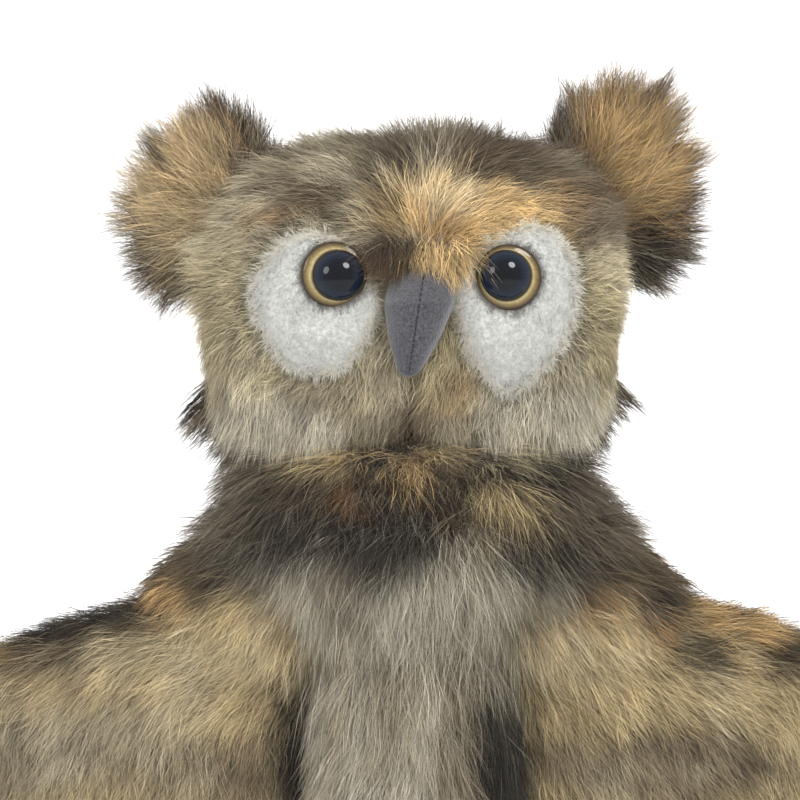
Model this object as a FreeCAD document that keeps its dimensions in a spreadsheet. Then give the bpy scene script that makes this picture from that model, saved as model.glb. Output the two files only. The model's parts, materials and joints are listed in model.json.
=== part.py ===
import FreeCAD
import Part
import Sketcher
import math
import os

# An electronic plush owl standing on a flat base. +Z is up, the owl faces -Y, +X is the viewer's right
# when looking at its face, and the origin is the centre of the base's underside. Sizes are in mm.

DIMENSIONS = {
    # Base plate and battery door
    "base_radius": 46, "base_thickness": 3,
    "door_half_length": 25.5, "door_half_width": 9, "door_thickness": 2, "door_gap": 0.4,
    "tongue_half_width": 6, "tongue_end": 18, "door_screw_offset": 14,
    # Chassis tube, split at Y = 0
    "chassis_radius": 33, "chassis_wall": 2, "chassis_top": 236, "neck_hole_radius": 9,
    "boss_radius": 4.2, "boss_offset": 24, "low_boss_height": 68, "high_boss_height": 225,
    "screw_radius": 1.25, "screw_head_radius": 2.6,
    # Battery box for three AA cells standing side by side
    "cell_radius": 7.25, "cell_length": 49.5, "cell_spacing": 16, "cell_floor": 5,
    "box_half_length": 26, "box_half_width": 9.5, "box_top": 59.5, "box_wall": 1.6,
    # Power switch
    "switch_y": 19, "switch_travel": 4,
    # Speaker, circuit board, microphone
    "speaker_height": 128, "speaker_radius": 18, "speaker_face": 25,
    "board_half_width": 20, "board_bottom": 74, "board_top": 108, "board_y": 19.5,
    "board_thickness": 1.6, "microphone_height": 182,
    # Chest button
    "button_height": 161, "button_radius": 9, "button_travel": 2,
    # Wing drive
    "pivot_x": 24, "pivot_z": 197, "pin_radius": 3, "running_gap": 0.05,
    "sector_module": 1, "sector_teeth": 48, "wing_pinion_teeth": 12, "sector_thickness": 4,
    "plate_y": 6, "plate_thickness": 2, "plate_half_width": 29.9, "plate_bottom": 150, "plate_top": 218,
    "spar_half_height": 5, "window_half_width": 4.5, "window_bottom": 188, "window_top": 213,
    # Neck drive
    "neck_gear_module": 0.8, "neck_gear_teeth": 32, "neck_pinion_teeth": 12, "neck_gear_bottom": 222,
    "neck_gear_height": 5, "shaft_radius": 6, "collar_radius": 10, "flange_radius": 16,
    "flange_bottom": 278, "skull_bottom": 282,
    # Head
    "skull_radius": 44, "skull_centre": 322, "skull_wall": 2,
    "head_half_width": 87, "head_front": 62, "head_back": 64, "head_bottom": 262, "head_top": 394,
    "head_rounding": 42, "head_skin": 14,
    # Eyes, eye discs and beak
    "left_eye_x": -31.6, "left_eye_z": 335.6, "right_eye_x": 35.6, "right_eye_z": 334,
    "eye_radius": 13, "eye_dome": 7, "eye_face": 58, "eye_plate": 2, "eye_shank_radius": 3,
    "eye_shank_end": 40, "washer_radius": 9, "washer_thickness": 1.6, "disc_back": 50,
    # Ears, ruff, wings, tail and feet
    "ear_half_thickness": 13, "ear_y": -4,
    "ruff_inner": 13, "ruff_outer": 60, "ruff_top": 258,
    "wing_half_thickness": 21, "wing_skin": 12,
    "tail_height": 14, "foot_height": 14,
}

GEAR_BACKLASH = 0.16
GEAR_CENTRE_SLACK = 0.12
PRESSURE_ANGLE = math.radians(20)
ALL_AROUND = 360.0

doc = FreeCAD.newDocument("plush_owl")
sheet = doc.addObject("Spreadsheet::Sheet", "Dims")
for row, (alias, number) in enumerate(DIMENSIONS.items(), start=1):
    sheet.set(f"A{row}", alias)
    sheet.set(f"B{row}", str(number))
    sheet.setAlias(f"B{row}", alias)
doc.recompute()


class Size:
    """A length with the sheet expression that gives it, so that sums of sizes stay bound to the sheet."""

    def __init__(self, value, text):
        self.value = float(value)
        self.text = text

    def __add__(self, other):
        other = as_size(other)
        return Size(self.value + other.value, f"({self.text} + {other.text})")

    def __sub__(self, other):
        other = as_size(other)
        return Size(self.value - other.value, f"({self.text} - {other.text})")

    def __mul__(self, other):
        other = as_size(other)
        return Size(self.value * other.value, f"({self.text} * {other.text})")

    def __truediv__(self, other):
        other = as_size(other)
        return Size(self.value / other.value, f"({self.text} / {other.text})")

    def __neg__(self):
        return Size(-self.value, f"(0 - {self.text})")

    __radd__ = __add__
    __rmul__ = __mul__

    def __rsub__(self, other):
        return as_size(other) - self


def as_size(number):
    return number if isinstance(number, Size) else Size(number, f"{number:.6f}")


def dim(alias):
    return Size(getattr(sheet, alias), f"Dims.{alias}")


def bind(item, path, number):
    item.setExpression(path, as_size(number).text)


# Part primitives ----------------------------------------------------------------------------------

TURNS = {
    "+Z": FreeCAD.Rotation(),
    "+Y": FreeCAD.Rotation(FreeCAD.Vector(1, 0, 0), -90),
    "-Y": FreeCAD.Rotation(FreeCAD.Vector(1, 0, 0), 90),
}


def place(item, at, along="+Z"):
    item.Placement = FreeCAD.Placement(FreeCAD.Vector(), TURNS[along])
    for axis, number in zip("xyz", at):
        bind(item, f"Placement.Base.{axis}", number)
    return item


def block(name, low, high):
    """A box between two corners."""
    item = doc.addObject("Part::Box", name)
    for side, start, end in zip(("Length", "Width", "Height"), low, high):
        bind(item, side, as_size(end) - start)
    return place(item, low)


def rod(name, radius, length, at, along="+Z"):
    item = doc.addObject("Part::Cylinder", name)
    bind(item, "Radius", radius)
    bind(item, "Height", length)
    return place(item, at, along)


def taper(name, start_radius, end_radius, length, at, along="+Z"):
    item = doc.addObject("Part::Cone", name)
    bind(item, "Radius1", start_radius)
    bind(item, "Radius2", end_radius)
    bind(item, "Height", length)
    return place(item, at, along)


def ball(name, radius, at):
    item = doc.addObject("Part::Sphere", name)
    bind(item, "Radius", radius)
    return place(item, at)


def cut(name, base, *tools):
    item = doc.addObject("Part::Cut", name)
    item.Base = base
    item.Tool = tools[0] if len(tools) == 1 else join(f"{name}_tools", *tools)
    return item


def join(name, *items):
    item = doc.addObject("Part::MultiFuse", name)
    item.Shapes = list(items)
    return item


def overlap(name, *items):
    item = doc.addObject("Part::MultiCommon", name)
    item.Shapes = list(items)
    return item


def group(name, *items):
    """Several separate solids that share one node."""
    item = doc.addObject("Part::Compound", name)
    item.Links = list(items)
    return item


# PartDesign bodies --------------------------------------------------------------------------------

def new_body(name):
    return doc.addObject("PartDesign::Body", name)


def sketch_on(body, plane_role, name, offset=0):
    sketch = body.newObject("Sketcher::SketchObject", name)
    plane = next(item for item in body.Origin.OriginFeatures if item.Role == plane_role)
    sketch.AttachmentSupport = [(plane, "")]
    sketch.MapMode = "FlatFace"
    bind(sketch, "AttachmentOffset.Base.z", offset)
    return sketch


def draw_polygon(sketch, corners):
    """A closed run of straight lines whose corners are all bound to the sheet."""
    points = [FreeCAD.Vector(as_size(x).value, as_size(y).value, 0) for x, y in corners]
    for index, point in enumerate(points):
        sketch.addGeometry(Part.LineSegment(point, points[(index + 1) % len(points)]), False)
    for index, (x, y) in enumerate(corners):
        sketch.addConstraint(Sketcher.Constraint("Coincident", index, 2, (index + 1) % len(points), 1))
        for kind, number in (("DistanceX", as_size(x)), ("DistanceY", as_size(y))):
            added = sketch.addConstraint(Sketcher.Constraint(kind, -1, 1, index, 1, number.value))
            sketch.setExpression(f"Constraints[{added}]", number.text)


def draw_curve(sketch, points):
    """A smooth closed outline through a few points."""
    curve = Part.BSplineCurve()
    curve.interpolate([FreeCAD.Vector(x, y, 0) for x, y in points], PeriodicFlag=True)
    sketch.addGeometry(curve, False)


def draw_circle(sketch, radius):
    sketch.addGeometry(Part.Circle(FreeCAD.Vector(), FreeCAD.Vector(0, 0, 1), radius.value), False)
    sketch.addConstraint(Sketcher.Constraint("Coincident", 0, 3, -1, 1))
    added = sketch.addConstraint(Sketcher.Constraint("Radius", 0, radius.value))
    sketch.setExpression(f"Constraints[{added}]", radius.text)


def turned(name, corners, angle=ALL_AROUND, reverse=False):
    """A profile of (radius, height) corners turned about the Z axis."""
    body = new_body(name)
    sketch = sketch_on(body, "XZ_Plane", f"{name}_profile")
    draw_polygon(sketch, corners)
    turn = body.newObject("PartDesign::Revolution", f"{name}_turn")
    turn.Profile = sketch
    turn.ReferenceAxis = (sketch, ["V_Axis"])
    turn.Angle = angle
    turn.Reversed = reverse
    return body


def plate(name, plane_role, corners, start, thickness):
    """A polygon padded along its plane's normal from the given offset."""
    body = new_body(name)
    sketch = sketch_on(body, plane_role, f"{name}_outline", start)
    draw_polygon(sketch, corners)
    pad = body.newObject("PartDesign::Pad", f"{name}_pad")
    pad.Profile = sketch
    bind(pad, "Length", thickness)
    return body


def shrink(points, margin):
    """The outline moved inwards by a margin, measured towards its middle."""
    middle_x = sum(x for x, _ in points) / len(points)
    middle_y = sum(y for _, y in points) / len(points)
    moved = []
    for x, y in points:
        reach = math.hypot(x - middle_x, y - middle_y)
        scale = max(reach - margin, 0.3 * reach) / reach
        moved.append((middle_x + (x - middle_x) * scale, middle_y + (y - middle_y) * scale))
    return moved


def cushion(name, plane_role, points, start, thickness, rounding):
    """A padded shape: its outline is full in the middle and drawn in towards both faces."""
    body = new_body(name)
    levels = ((0.0, rounding), (0.22, 0.3 * rounding), (0.5, 0.0), (0.78, 0.3 * rounding), (1.0, rounding))
    sketches = []
    for share, margin in levels:
        sketch = sketch_on(body, plane_role, f"{name}_level", as_size(start) + as_size(thickness) * share)
        draw_curve(sketch, shrink(points, margin))
        sketches.append(sketch)
    loft = body.newObject("PartDesign::AdditiveLoft", f"{name}_loft")
    loft.Profile = sketches[0]
    loft.Sections = sketches[1:]
    loft.Ruled = True
    return body


# Gears --------------------------------------------------------------------------------------------

def involute(angle):
    return math.tan(angle) - angle


def tooth_flank(teeth, module):
    """(radius, half angle) pairs from a tooth's root to its tip."""
    pitch_radius = teeth * module / 2
    base_radius = pitch_radius * math.cos(PRESSURE_ANGLE)
    root_radius = pitch_radius - 1.2 * module
    tip_radius = pitch_radius + 0.85 * module
    pitch_half_angle = math.pi / (2 * teeth) - GEAR_BACKLASH / (2 * pitch_radius)
    flank = []
    start_radius = max(root_radius, base_radius)
    if root_radius < base_radius:
        flank.append((root_radius, pitch_half_angle + 0.3 * involute(PRESSURE_ANGLE)))
    steps = 5
    for step in range(steps + 1):
        radius = start_radius + (tip_radius - start_radius) * step / steps
        swing = math.acos(min(1.0, base_radius / radius))
        flank.append((radius, pitch_half_angle + involute(PRESSURE_ANGLE) - involute(swing)))
    return flank


def gear_wire(teeth, module, tooth_angles, centre=None):
    """Points of a gear's outline. A sector is closed through its centre point."""
    flank = tooth_flank(teeth, module)
    points = []
    for middle in tooth_angles:
        points += [(radius, middle - half) for radius, half in flank]
        points += [(radius, middle + half) for radius, half in reversed(flank)]
    corners = [FreeCAD.Vector(radius * math.cos(turn), radius * math.sin(turn), 0)
               for radius, turn in points]
    if centre is not None:
        corners.append(centre)
    return Part.makePolygon(corners + [corners[0]])


def gear_feature(name, teeth, module, first_angle, count, thickness, sector=False):
    """An extruded gear, or a toothed sector, lying in the XY plane from Z = 0 upwards."""
    pitch = 2 * math.pi / teeth
    angles = [math.radians(first_angle) + pitch * index for index in range(count)]
    wire = gear_wire(teeth, module, angles, FreeCAD.Vector() if sector else None)
    item = doc.addObject("Part::Feature", name)
    item.Shape = Part.Face(wire).extrude(FreeCAD.Vector(0, 0, thickness))
    return item


# Base, battery door and chassis -------------------------------------------------------------------

def door_corners(gap):
    """The battery door's outline, a rectangle with a screw tongue at its front, grown by a gap."""
    side, back = dim("door_half_length") + gap, dim("door_half_width") + gap
    tongue, tip = dim("tongue_half_width") + gap, dim("tongue_end") + gap
    return [(-side, back), (-side, -back), (-tongue, -back), (-tongue, -tip),
            (tongue, -tip), (tongue, -back), (side, -back), (side, back)]


def switch_slot(name, low, high):
    reach = dim("switch_travel") / 2 + 2.4
    y = dim("switch_y")
    return block(name, (-reach, y - 2, low), (reach, y + 2, high))


def make_base():
    thickness = dim("base_thickness")
    disc = new_body("base_disc")
    sketch = sketch_on(disc, "XY_Plane", "base_outline")
    draw_circle(sketch, dim("base_radius"))
    pad = disc.newObject("PartDesign::Pad", "base_pad")
    pad.Profile = sketch
    bind(pad, "Length", thickness)
    opening = plate("door_opening", "XY_Plane", door_corners(dim("door_gap")), 0, thickness)
    return cut("base_plate", disc, opening, switch_slot("base_switch_slot", 0, thickness))


def make_door():
    thickness = dim("door_thickness")
    screw_y = -dim("door_screw_offset")
    panel = plate("door_panel", "XY_Plane", door_corners(0), 0, thickness)
    head_depth = 1.2
    door = cut("battery_door", panel,
               rod("door_screw_hole", dim("screw_radius"), thickness, (0, screw_y, 0)),
               rod("door_head_recess", dim("screw_head_radius"), head_depth, (0, screw_y, 0)))
    screw = join("door_screw",
                 rod("door_screw_head", dim("screw_head_radius"), head_depth, (0, screw_y, 0)),
                 rod("door_screw_shank", dim("screw_radius"), 6, (0, screw_y, 0)))
    springs = []
    for index, x in enumerate((-1, 0, 1)):
        middle = dim("cell_spacing") * x
        springs.append(join(f"door_contact_{index}",
                            block(f"contact_strip_{index}", (middle - 5, -5, thickness),
                                  (middle + 5, 5, thickness + 0.4)),
                            taper(f"contact_cone_{index}", 4, 2, 2.3, (middle, 0, thickness + 0.4))))
    return [door, screw, group("door_contacts", *springs)]


def chassis_half(name, side):
    """One half of the chassis tube with its floor, its top and its share of the screw bosses."""
    outer, wall = dim("chassis_radius"), dim("chassis_wall")
    floor, top = dim("base_thickness"), dim("chassis_top")
    inner = outer - wall
    profile = [(0, floor), (outer, floor), (outer, top), (dim("neck_hole_radius"), top),
               (dim("neck_hole_radius"), top - 4), (inner, top - 4), (inner, floor + wall),
               (0, floor + wall)]
    shell = turned(f"{name}_shell", profile, 180, reverse=side < 0)
    bosses = []
    holes = []
    along = "+Y" if side > 0 else "-Y"
    for x in (-1, 1):
        for height in ("low_boss_height", "high_boss_height"):
            at = (dim("boss_offset") * x, 0, dim(height))
            bosses.append(rod(f"{name}_boss", dim("boss_radius"), outer, at, along))
            if side > 0:
                holes.append(rod(f"{name}_pilot", dim("screw_radius"), 12, at, along))
            else:
                holes.append(rod(f"{name}_clearance", dim("screw_radius") + 0.35, outer, at, along))
                recess_radius = dim("screw_head_radius") + 0.3
                holes.append(rod(f"{name}_head_recess", recess_radius, outer, (at[0], -12, at[2]), along))
    core = rod(f"{name}_core", inner + wall / 2, top - floor - 2, (0, 0, floor + 1))
    kept_bosses = overlap(f"{name}_bosses", join(f"{name}_boss_rods", *bosses), core)
    battery_hole = block(f"{name}_battery_hole", (-dim("box_half_length"), -dim("box_half_width"), 0),
                         (dim("box_half_length"), dim("box_half_width"), floor + wall))
    windows = block(f"{name}_windows", (-outer - 2, -dim("window_half_width"), dim("window_bottom")),
                    (outer + 2, dim("window_half_width"), dim("window_top")))
    holes += [battery_hole, windows]
    solid = join(f"{name}_solid", shell, kept_bosses)
    if side > 0:
        holes.append(switch_slot("chassis_switch_slot", floor, floor + wall))
        return cut(name, solid, *holes)
    screw_at = (0, -dim("door_screw_offset"), floor)
    door_boss = rod("door_boss", 3.6, 6, screw_at)
    holes.append(rod("door_boss_hole", 2.3, 5, screw_at))
    holes += grille_holes()
    holes.append(rod("button_hole", dim("button_radius") + 0.3, outer,
                     (0, -outer / 2, dim("button_height")), "-Y"))
    holes.append(rod("microphone_hole", 1.5, outer, (0, -outer / 2, dim("microphone_height")), "-Y"))
    return cut(name, join("chassis_front_full", solid, door_boss), *holes)


def grille_holes():
    """Sound holes in front of the speaker: one in the middle and two rings round it."""
    holes = []
    for ring, count in ((0, 1), (6, 6), (12, 12)):
        for index in range(count):
            turn = 2 * math.pi * index / count
            at = (ring * math.cos(turn), -dim("chassis_radius") / 2,
                  dim("speaker_height") + ring * math.sin(turn))
            holes.append(rod("grille_hole", 1.6, dim("chassis_radius"), at, "-Y"))
    return holes


def make_chassis_screws():
    screws = []
    for x in (-1, 1):
        for height in ("low_boss_height", "high_boss_height"):
            middle, level = dim("boss_offset") * x, dim(height)
            screws.append(join("chassis_screw",
                               rod("screw_head", dim("screw_head_radius"), 2, (middle, -14, level), "+Y"),
                               rod("screw_shank", dim("screw_radius"), 24, (middle, -14, level), "+Y")))
    return group("chassis_screws", *screws)


# Power: battery box, cells, contacts and switch ---------------------------------------------------

def make_power():
    length, width, wall = dim("box_half_length"), dim("box_half_width"), dim("box_wall")
    floor, top = dim("base_thickness"), dim("box_top")
    box = cut("battery_box", block("box_outside", (-length, -width, floor), (length, width, top)),
              block("box_inside", (-length + wall, -width + wall, floor),
                    (length - wall, width - wall, top - wall)))
    cells = []
    contacts = []
    for step in (-1, 0, 1):
        middle = dim("cell_spacing") * step
        base = dim("cell_floor")
        cells.append(join("cell",
                          rod("cell_can", dim("cell_radius"), dim("cell_length"), (middle, 0, base)),
                          rod("cell_nub", 2.75, 1, (middle, 0, base + dim("cell_length")))))
        strip = base + dim("cell_length") + 1
        contacts.append(block("contact_plate", (middle - 5, -5, strip), (middle + 5, 5, strip + 0.6)))
        contacts.append(block("contact_tab", (middle - 1.5, -5, strip + 0.6), (middle + 1.5, -2, top - wall)))
    y = dim("switch_y")
    deck = floor + dim("chassis_wall")
    case = cut("switch_housing",
               block("switch_case", (-8, y - 3.5, deck), (8, y + 3.5, deck + 6)),
               block("switch_cavity", (-6.8, y - 2.3, deck), (6.8, y + 2.3, deck + 4.6)))
    start = -dim("switch_travel") / 2
    slider = join("switch_slider",
                  block("slider_knob", (start - 2, y - 1.6, 0.3), (start + 2, y + 1.6, deck + 1)),
                  block("slider_block", (start - 3.5, y - 2, deck + 0.6), (start + 3.5, y + 2, deck + 4)))
    return [box, group("batteries", *cells), group("battery_contacts", *contacts), case, slider]


# Sound, board, microphone and chest button --------------------------------------------------------

def make_speaker():
    radius, face, level = dim("speaker_radius"), dim("speaker_face"), dim("speaker_height")
    at_face = (0, -face, level)
    basket = cut("speaker_basket", rod("basket_body", radius, 10, at_face, "+Y"),
                 taper("basket_hollow", radius - 1.5, 7, 9, at_face, "+Y"))
    cone = cut("speaker_cone", taper("cone_outside", radius - 1.5, 7, 9, at_face, "+Y"),
               taper("cone_inside", radius - 2.5, 6, 8.2, at_face, "+Y"))
    magnet = rod("speaker_magnet", 9, 6, (0, -face + 10, level), "+Y")
    return [basket, cone, magnet]


def make_board():
    y, half = dim("board_y"), dim("board_half_width")
    low, high = dim("board_bottom"), dim("board_top")
    board = block("circuit_board", (-half, y, low), (half, y + dim("board_thickness"), high))
    pieces = [
        block("main_chip", (-7, y - 1.6, low + 8), (5, y, low + 20)),
        block("memory_chip", (9, y - 1.4, low + 10), (15, y, low + 18)),
        block("power_connector", (-16, y - 5, low + 1), (-8, y, low + 6)),
        block("motor_connector", (-4, y - 5, high - 6), (10, y, high - 1)),
        rod("smoothing_capacitor", 2.5, 7, (-13.5, y - 7, low + 20), "+Y"),
    ]
    microphone = rod("microphone", 4.8, 4, (0, -30, dim("microphone_height")), "+Y")
    return [board, group("board_components", *pieces), microphone]


def make_button():
    level, radius = dim("button_height"), dim("button_radius")
    button = join("chest_button", rod("button_cap", radius, 9, (0, -36.5, level), "+Y"),
                  rod("button_flange", radius + 1.8, 1.6, (0, -28.4, level), "+Y"))
    spring = cut("button_spring", rod("spring_outside", 5, 4.4, (0, -26.6, level), "+Y"),
                 rod("spring_inside", 4, 4.4, (0, -26.6, level), "+Y"))
    switch = join("touch_switch", block("touch_case", (-12, -22, level - 6), (12, -18, level + 6)),
                  rod("touch_plunger", 2, 2, (0, -24, level), "+Y"))
    return [button, spring, switch]


# Wing drive ---------------------------------------------------------------------------------------

WING_PINION_ANGLE = -67.5


def wing_pinion_centre():
    reach = (DIMENSIONS["sector_teeth"] + DIMENSIONS["wing_pinion_teeth"]) * DIMENSIONS["sector_module"] / 2
    reach += GEAR_CENTRE_SLACK
    turn = math.radians(WING_PINION_ANGLE)
    return (-DIMENSIONS["pivot_x"] + reach * math.cos(turn), DIMENSIONS["pivot_z"] + reach * math.sin(turn))


def facing_front(item, x, y, z):
    """Stands a flat feature up so that its own X and Y run along X and Z, with its base at y."""
    item.Placement = FreeCAD.Placement(FreeCAD.Vector(x, y, z), TURNS["-Y"])
    return item


def make_wing_arm(name, side):
    """A toothed sector on the pivot with a spar that carries the wing. side is -1 or +1 along X."""
    pitch = 360.0 / DIMENSIONS["sector_teeth"]
    half_thickness = dim("sector_thickness") / 2
    low_teeth, high_teeth = (10, 5) if side < 0 else (1, 5)
    if side < 0:
        first_angle = -low_teeth * pitch
    else:
        first_angle = 180 - (high_teeth - 0.5) * pitch
    count = low_teeth + high_teeth + 1
    sector = gear_feature(f"{name}_sector", DIMENSIONS["sector_teeth"], DIMENSIONS["sector_module"],
                          first_angle, count, DIMENSIONS["sector_thickness"], sector=True)
    slack = GEAR_CENTRE_SLACK / 2
    facing_front(sector, side * (DIMENSIONS["pivot_x"] + slack), half_thickness.value, DIMENSIONS["pivot_z"])
    x, z, half = dim("pivot_x"), dim("pivot_z"), dim("spar_half_height")
    spar_corners = [(x, z + half), (x + 36, z + half), (x + 124, z - 31), (x + 124, z - 43),
                    (x + 108, z - 43), (x + 34, z - half), (x, z - half)]
    spar_corners = [(corner_x * side, corner_z) for corner_x, corner_z in spar_corners]
    spar = plate(f"{name}_spar", "XZ_Plane", spar_corners, -half_thickness, dim("sector_thickness"))
    at_pivot = (dim("pivot_x") * side, half_thickness, z)
    hub = rod(f"{name}_hub", 8, dim("sector_thickness"), at_pivot, "-Y")
    solid = join(f"{name}_solid", sector, spar, hub)
    return cut(name, solid, rod(f"{name}_bore", dim("pin_radius") + dim("running_gap"), 10,
                                (dim("pivot_x") * side, 5, z), "-Y"))


def make_wing_drive():
    inner, thickness = dim("plate_y"), dim("plate_thickness")
    half, low, high = dim("plate_half_width"), dim("plate_bottom"), dim("plate_top")
    pivots = [(dim("pivot_x") * side, dim("pivot_z")) for side in (-1, 1)]
    spacer_spots = [(-24, 157), (24, 157), (0, 213.5)]
    pinion_x, pinion_z = wing_pinion_centre()

    def holes(name):
        found = [rod(f"{name}_pin_hole", dim("pin_radius"), 40, (x, 20, z), "-Y") for x, z in pivots]
        found += [rod(f"{name}_spacer_hole", 1.5, 40, (x, 20, z), "-Y") for x, z in spacer_spots]
        return found

    front = cut("drive_plate_front",
                block("front_sheet", (-half, -inner - thickness, low), (half, -inner, high)), *holes("front"))
    shelf = block("motor_shelf", (-9, inner + thickness, 192.5), (9, 25, 195))
    rear_sheet = block("rear_sheet", (-half, inner, low), (half, inner + thickness, high))
    rear = cut("drive_plate_rear", join("rear_sheet_and_shelf", rear_sheet, shelf),
               rod("shaft_hole", 2.2, 40, (pinion_x, 20, pinion_z), "-Y"), *holes("rear"))
    spacers = [join("spacer", rod("spacer_body", 3, inner * 2, (x, -inner, z), "+Y"),
                    rod("spacer_tips", 1.5, inner * 2 + 6, (x, -inner - 3, z), "+Y"))
               for x, z in spacer_spots]
    pins = [rod("pivot_pin", dim("pin_radius"), inner * 2 + 8, (x, -inner - 4, z), "+Y")
            for x, z in pivots]
    motor = rod("wing_motor", 7, 13, (pinion_x, inner + thickness, pinion_z), "+Y")

    teeth = DIMENSIONS["wing_pinion_teeth"]
    toothed = gear_feature("wing_pinion_teeth_solid", teeth, DIMENSIONS["sector_module"],
                           WING_PINION_ANGLE + 180 + 180 / teeth, teeth, 5)
    facing_front(toothed, pinion_x, 2.5, pinion_z)
    pinion = join("wing_pinion", toothed, rod("wing_pinion_shaft", 1.5, 10, (pinion_x, -2.5, pinion_z), "+Y"))
    return [front, rear, group("drive_spacers", *spacers), group("wing_pivot_pins", *pins), motor, pinion,
            make_wing_arm("wing_arm_left", -1), make_wing_arm("wing_arm_right", 1)]


# Neck drive and skull -----------------------------------------------------------------------------

def neck_pinion_offset():
    teeth = DIMENSIONS["neck_gear_teeth"] + DIMENSIONS["neck_pinion_teeth"]
    return teeth * DIMENSIONS["neck_gear_module"] / 2 + GEAR_CENTRE_SLACK


def make_neck():
    top, hole, shaft = dim("chassis_top"), dim("neck_hole_radius"), dim("shaft_radius")
    bore = shaft + dim("running_gap")
    bearing = turned("neck_bearing", [(bore, top - 6.5), (hole, top - 6.5), (hole, top), (hole + 3, top),
                                      (hole + 3, top + 2), (bore, top + 2)])
    low, flange = dim("neck_gear_bottom"), dim("flange_bottom")
    shaft_blank = turned("neck_shaft_blank", [(0, low - 1.5), (shaft, low - 1.5), (shaft, top + 2.3),
                                              (dim("collar_radius"), top + 2.3),
                                              (dim("collar_radius"), top + 5), (shaft, top + 5),
                                              (shaft, flange), (dim("flange_radius"), flange),
                                              (dim("flange_radius"), dim("skull_bottom")),
                                              (0, dim("skull_bottom"))])
    shaft_solid = cut("neck_shaft", shaft_blank, *skull_screw_holes("flange_screw_hole", flange))
    module, teeth = DIMENSIONS["neck_gear_module"], DIMENSIONS["neck_gear_teeth"]
    gear_teeth = gear_feature("head_gear_teeth", teeth, module, 0, teeth, DIMENSIONS["neck_gear_height"])
    gear_teeth.Placement = FreeCAD.Placement(FreeCAD.Vector(0, 0, low.value), TURNS["+Z"])
    gear = cut("head_gear", join("head_gear_blank", gear_teeth, rod("head_gear_hub", 9, 7, (0, 0, low))),
               rod("head_gear_bore", shaft, 10, (0, 0, low - 1)))
    offset = neck_pinion_offset()
    count = DIMENSIONS["neck_pinion_teeth"]
    toothed = gear_feature("head_pinion_teeth", count, module, 270 + 180 / count, count, 6.5)
    toothed.Placement = FreeCAD.Placement(FreeCAD.Vector(0, offset, 221.2), TURNS["+Z"])
    pinion = join("head_pinion", toothed, rod("head_pinion_shaft", 1, 10.5, (0, offset, 218.4)))
    motor = rod("head_motor", 6, 23, (0, offset, 195))
    return [bearing, shaft_solid, gear, pinion, motor]


SKULL_SCREW_SPOTS = [(x, y) for x in (-9, 9) for y in (-7, 7)]


def skull_screw_holes(name, bottom):
    return [rod(name, dim("screw_radius"), 8, (x, y, bottom - 1)) for x, y in SKULL_SCREW_SPOTS]


def skull_solid(name, wall):
    """The ball of the skull, flattened below, shrunk by a wall."""
    radius, middle, bottom = dim("skull_radius"), dim("skull_centre"), dim("skull_bottom")
    span = radius + 1
    return overlap(name, ball(f"{name}_ball", radius - wall, (0, 0, middle)),
                   block(f"{name}_above", (-span, -span, bottom + wall), (span, span, middle + span)))


def make_skull():
    span, bottom, middle = dim("skull_radius") + 1, dim("skull_bottom"), dim("skull_centre")
    screws = [join("skull_screw", rod("skull_screw_head", 2.5, 1.8, (x, y, bottom - 5.8)),
                   rod("skull_screw_shank", dim("screw_radius"), 9, (x, y, bottom - 5.8)))
              for x, y in SKULL_SCREW_SPOTS]
    shell = cut("skull_shell", skull_solid("skull_outside", 0),
                skull_solid("skull_inside", dim("skull_wall")),
                *skull_screw_holes("skull_screw_hole", bottom))
    halves = []
    for name, start, end in (("skull_front", -span, 0), ("skull_back", 0, span)):
        halves.append(overlap(name, shell, block(f"{name}_side", (-span, start, bottom - 1),
                                                 (span, end, middle + span))))
    return halves + [group("skull_screws", *screws)]


# Face ---------------------------------------------------------------------------------------------

LEFT_DISC = [(-66, 330), (-58, 349), (-40, 357), (-21, 350), (-13, 333), (-18, 312), (-33, 300),
             (-53, 305)]
RIGHT_DISC = [(13, 333), (21, 350), (44, 360), (62, 350), (66, 328), (56, 304), (36, 289), (19, 306)]
SIDES = {"left": LEFT_DISC, "right": RIGHT_DISC}


def make_eye(side):
    x, z = dim(f"{side}_eye_x"), dim(f"{side}_eye_z")
    radius, dome, face = dim("eye_radius"), dim("eye_dome"), dim("eye_face")
    ball_radius = (radius * radius + dome * dome) / (dome * 2)
    lens = overlap(f"eye_lens_{side}",
                   ball(f"lens_ball_{side}", ball_radius, (x, ball_radius - dome - face, z)),
                   block(f"lens_front_{side}", (x - radius - 3, -face - dome - 1, z - radius - 3),
                         (x + radius + 3, -face, z + radius + 3)))
    iris = join(f"eye_iris_{side}", rod(f"iris_plate_{side}", radius, dim("eye_plate"), (x, -face, z), "+Y"),
                rod(f"iris_shank_{side}", dim("eye_shank_radius"), face - dim("eye_shank_end"),
                    (x, -face, z), "+Y"))
    return [lens, iris]


def washer(side):
    x, z = dim(f"{side}_eye_x"), dim(f"{side}_eye_z")
    back = dim("head_front") - dim("head_skin")
    return cut(f"washer_{side}",
               rod(f"washer_rim_{side}", dim("washer_radius"), dim("washer_thickness"), (x, -back, z), "+Y"),
               rod(f"washer_hole_{side}", dim("eye_shank_radius"), 6, (x, -back - 1, z), "+Y"))


def shank_hole(side, name, extra):
    x, z = dim(f"{side}_eye_x"), dim(f"{side}_eye_z")
    return rod(name, dim("eye_shank_radius") + extra, 24, (x, -dim("eye_face"), z), "+Y")


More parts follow.
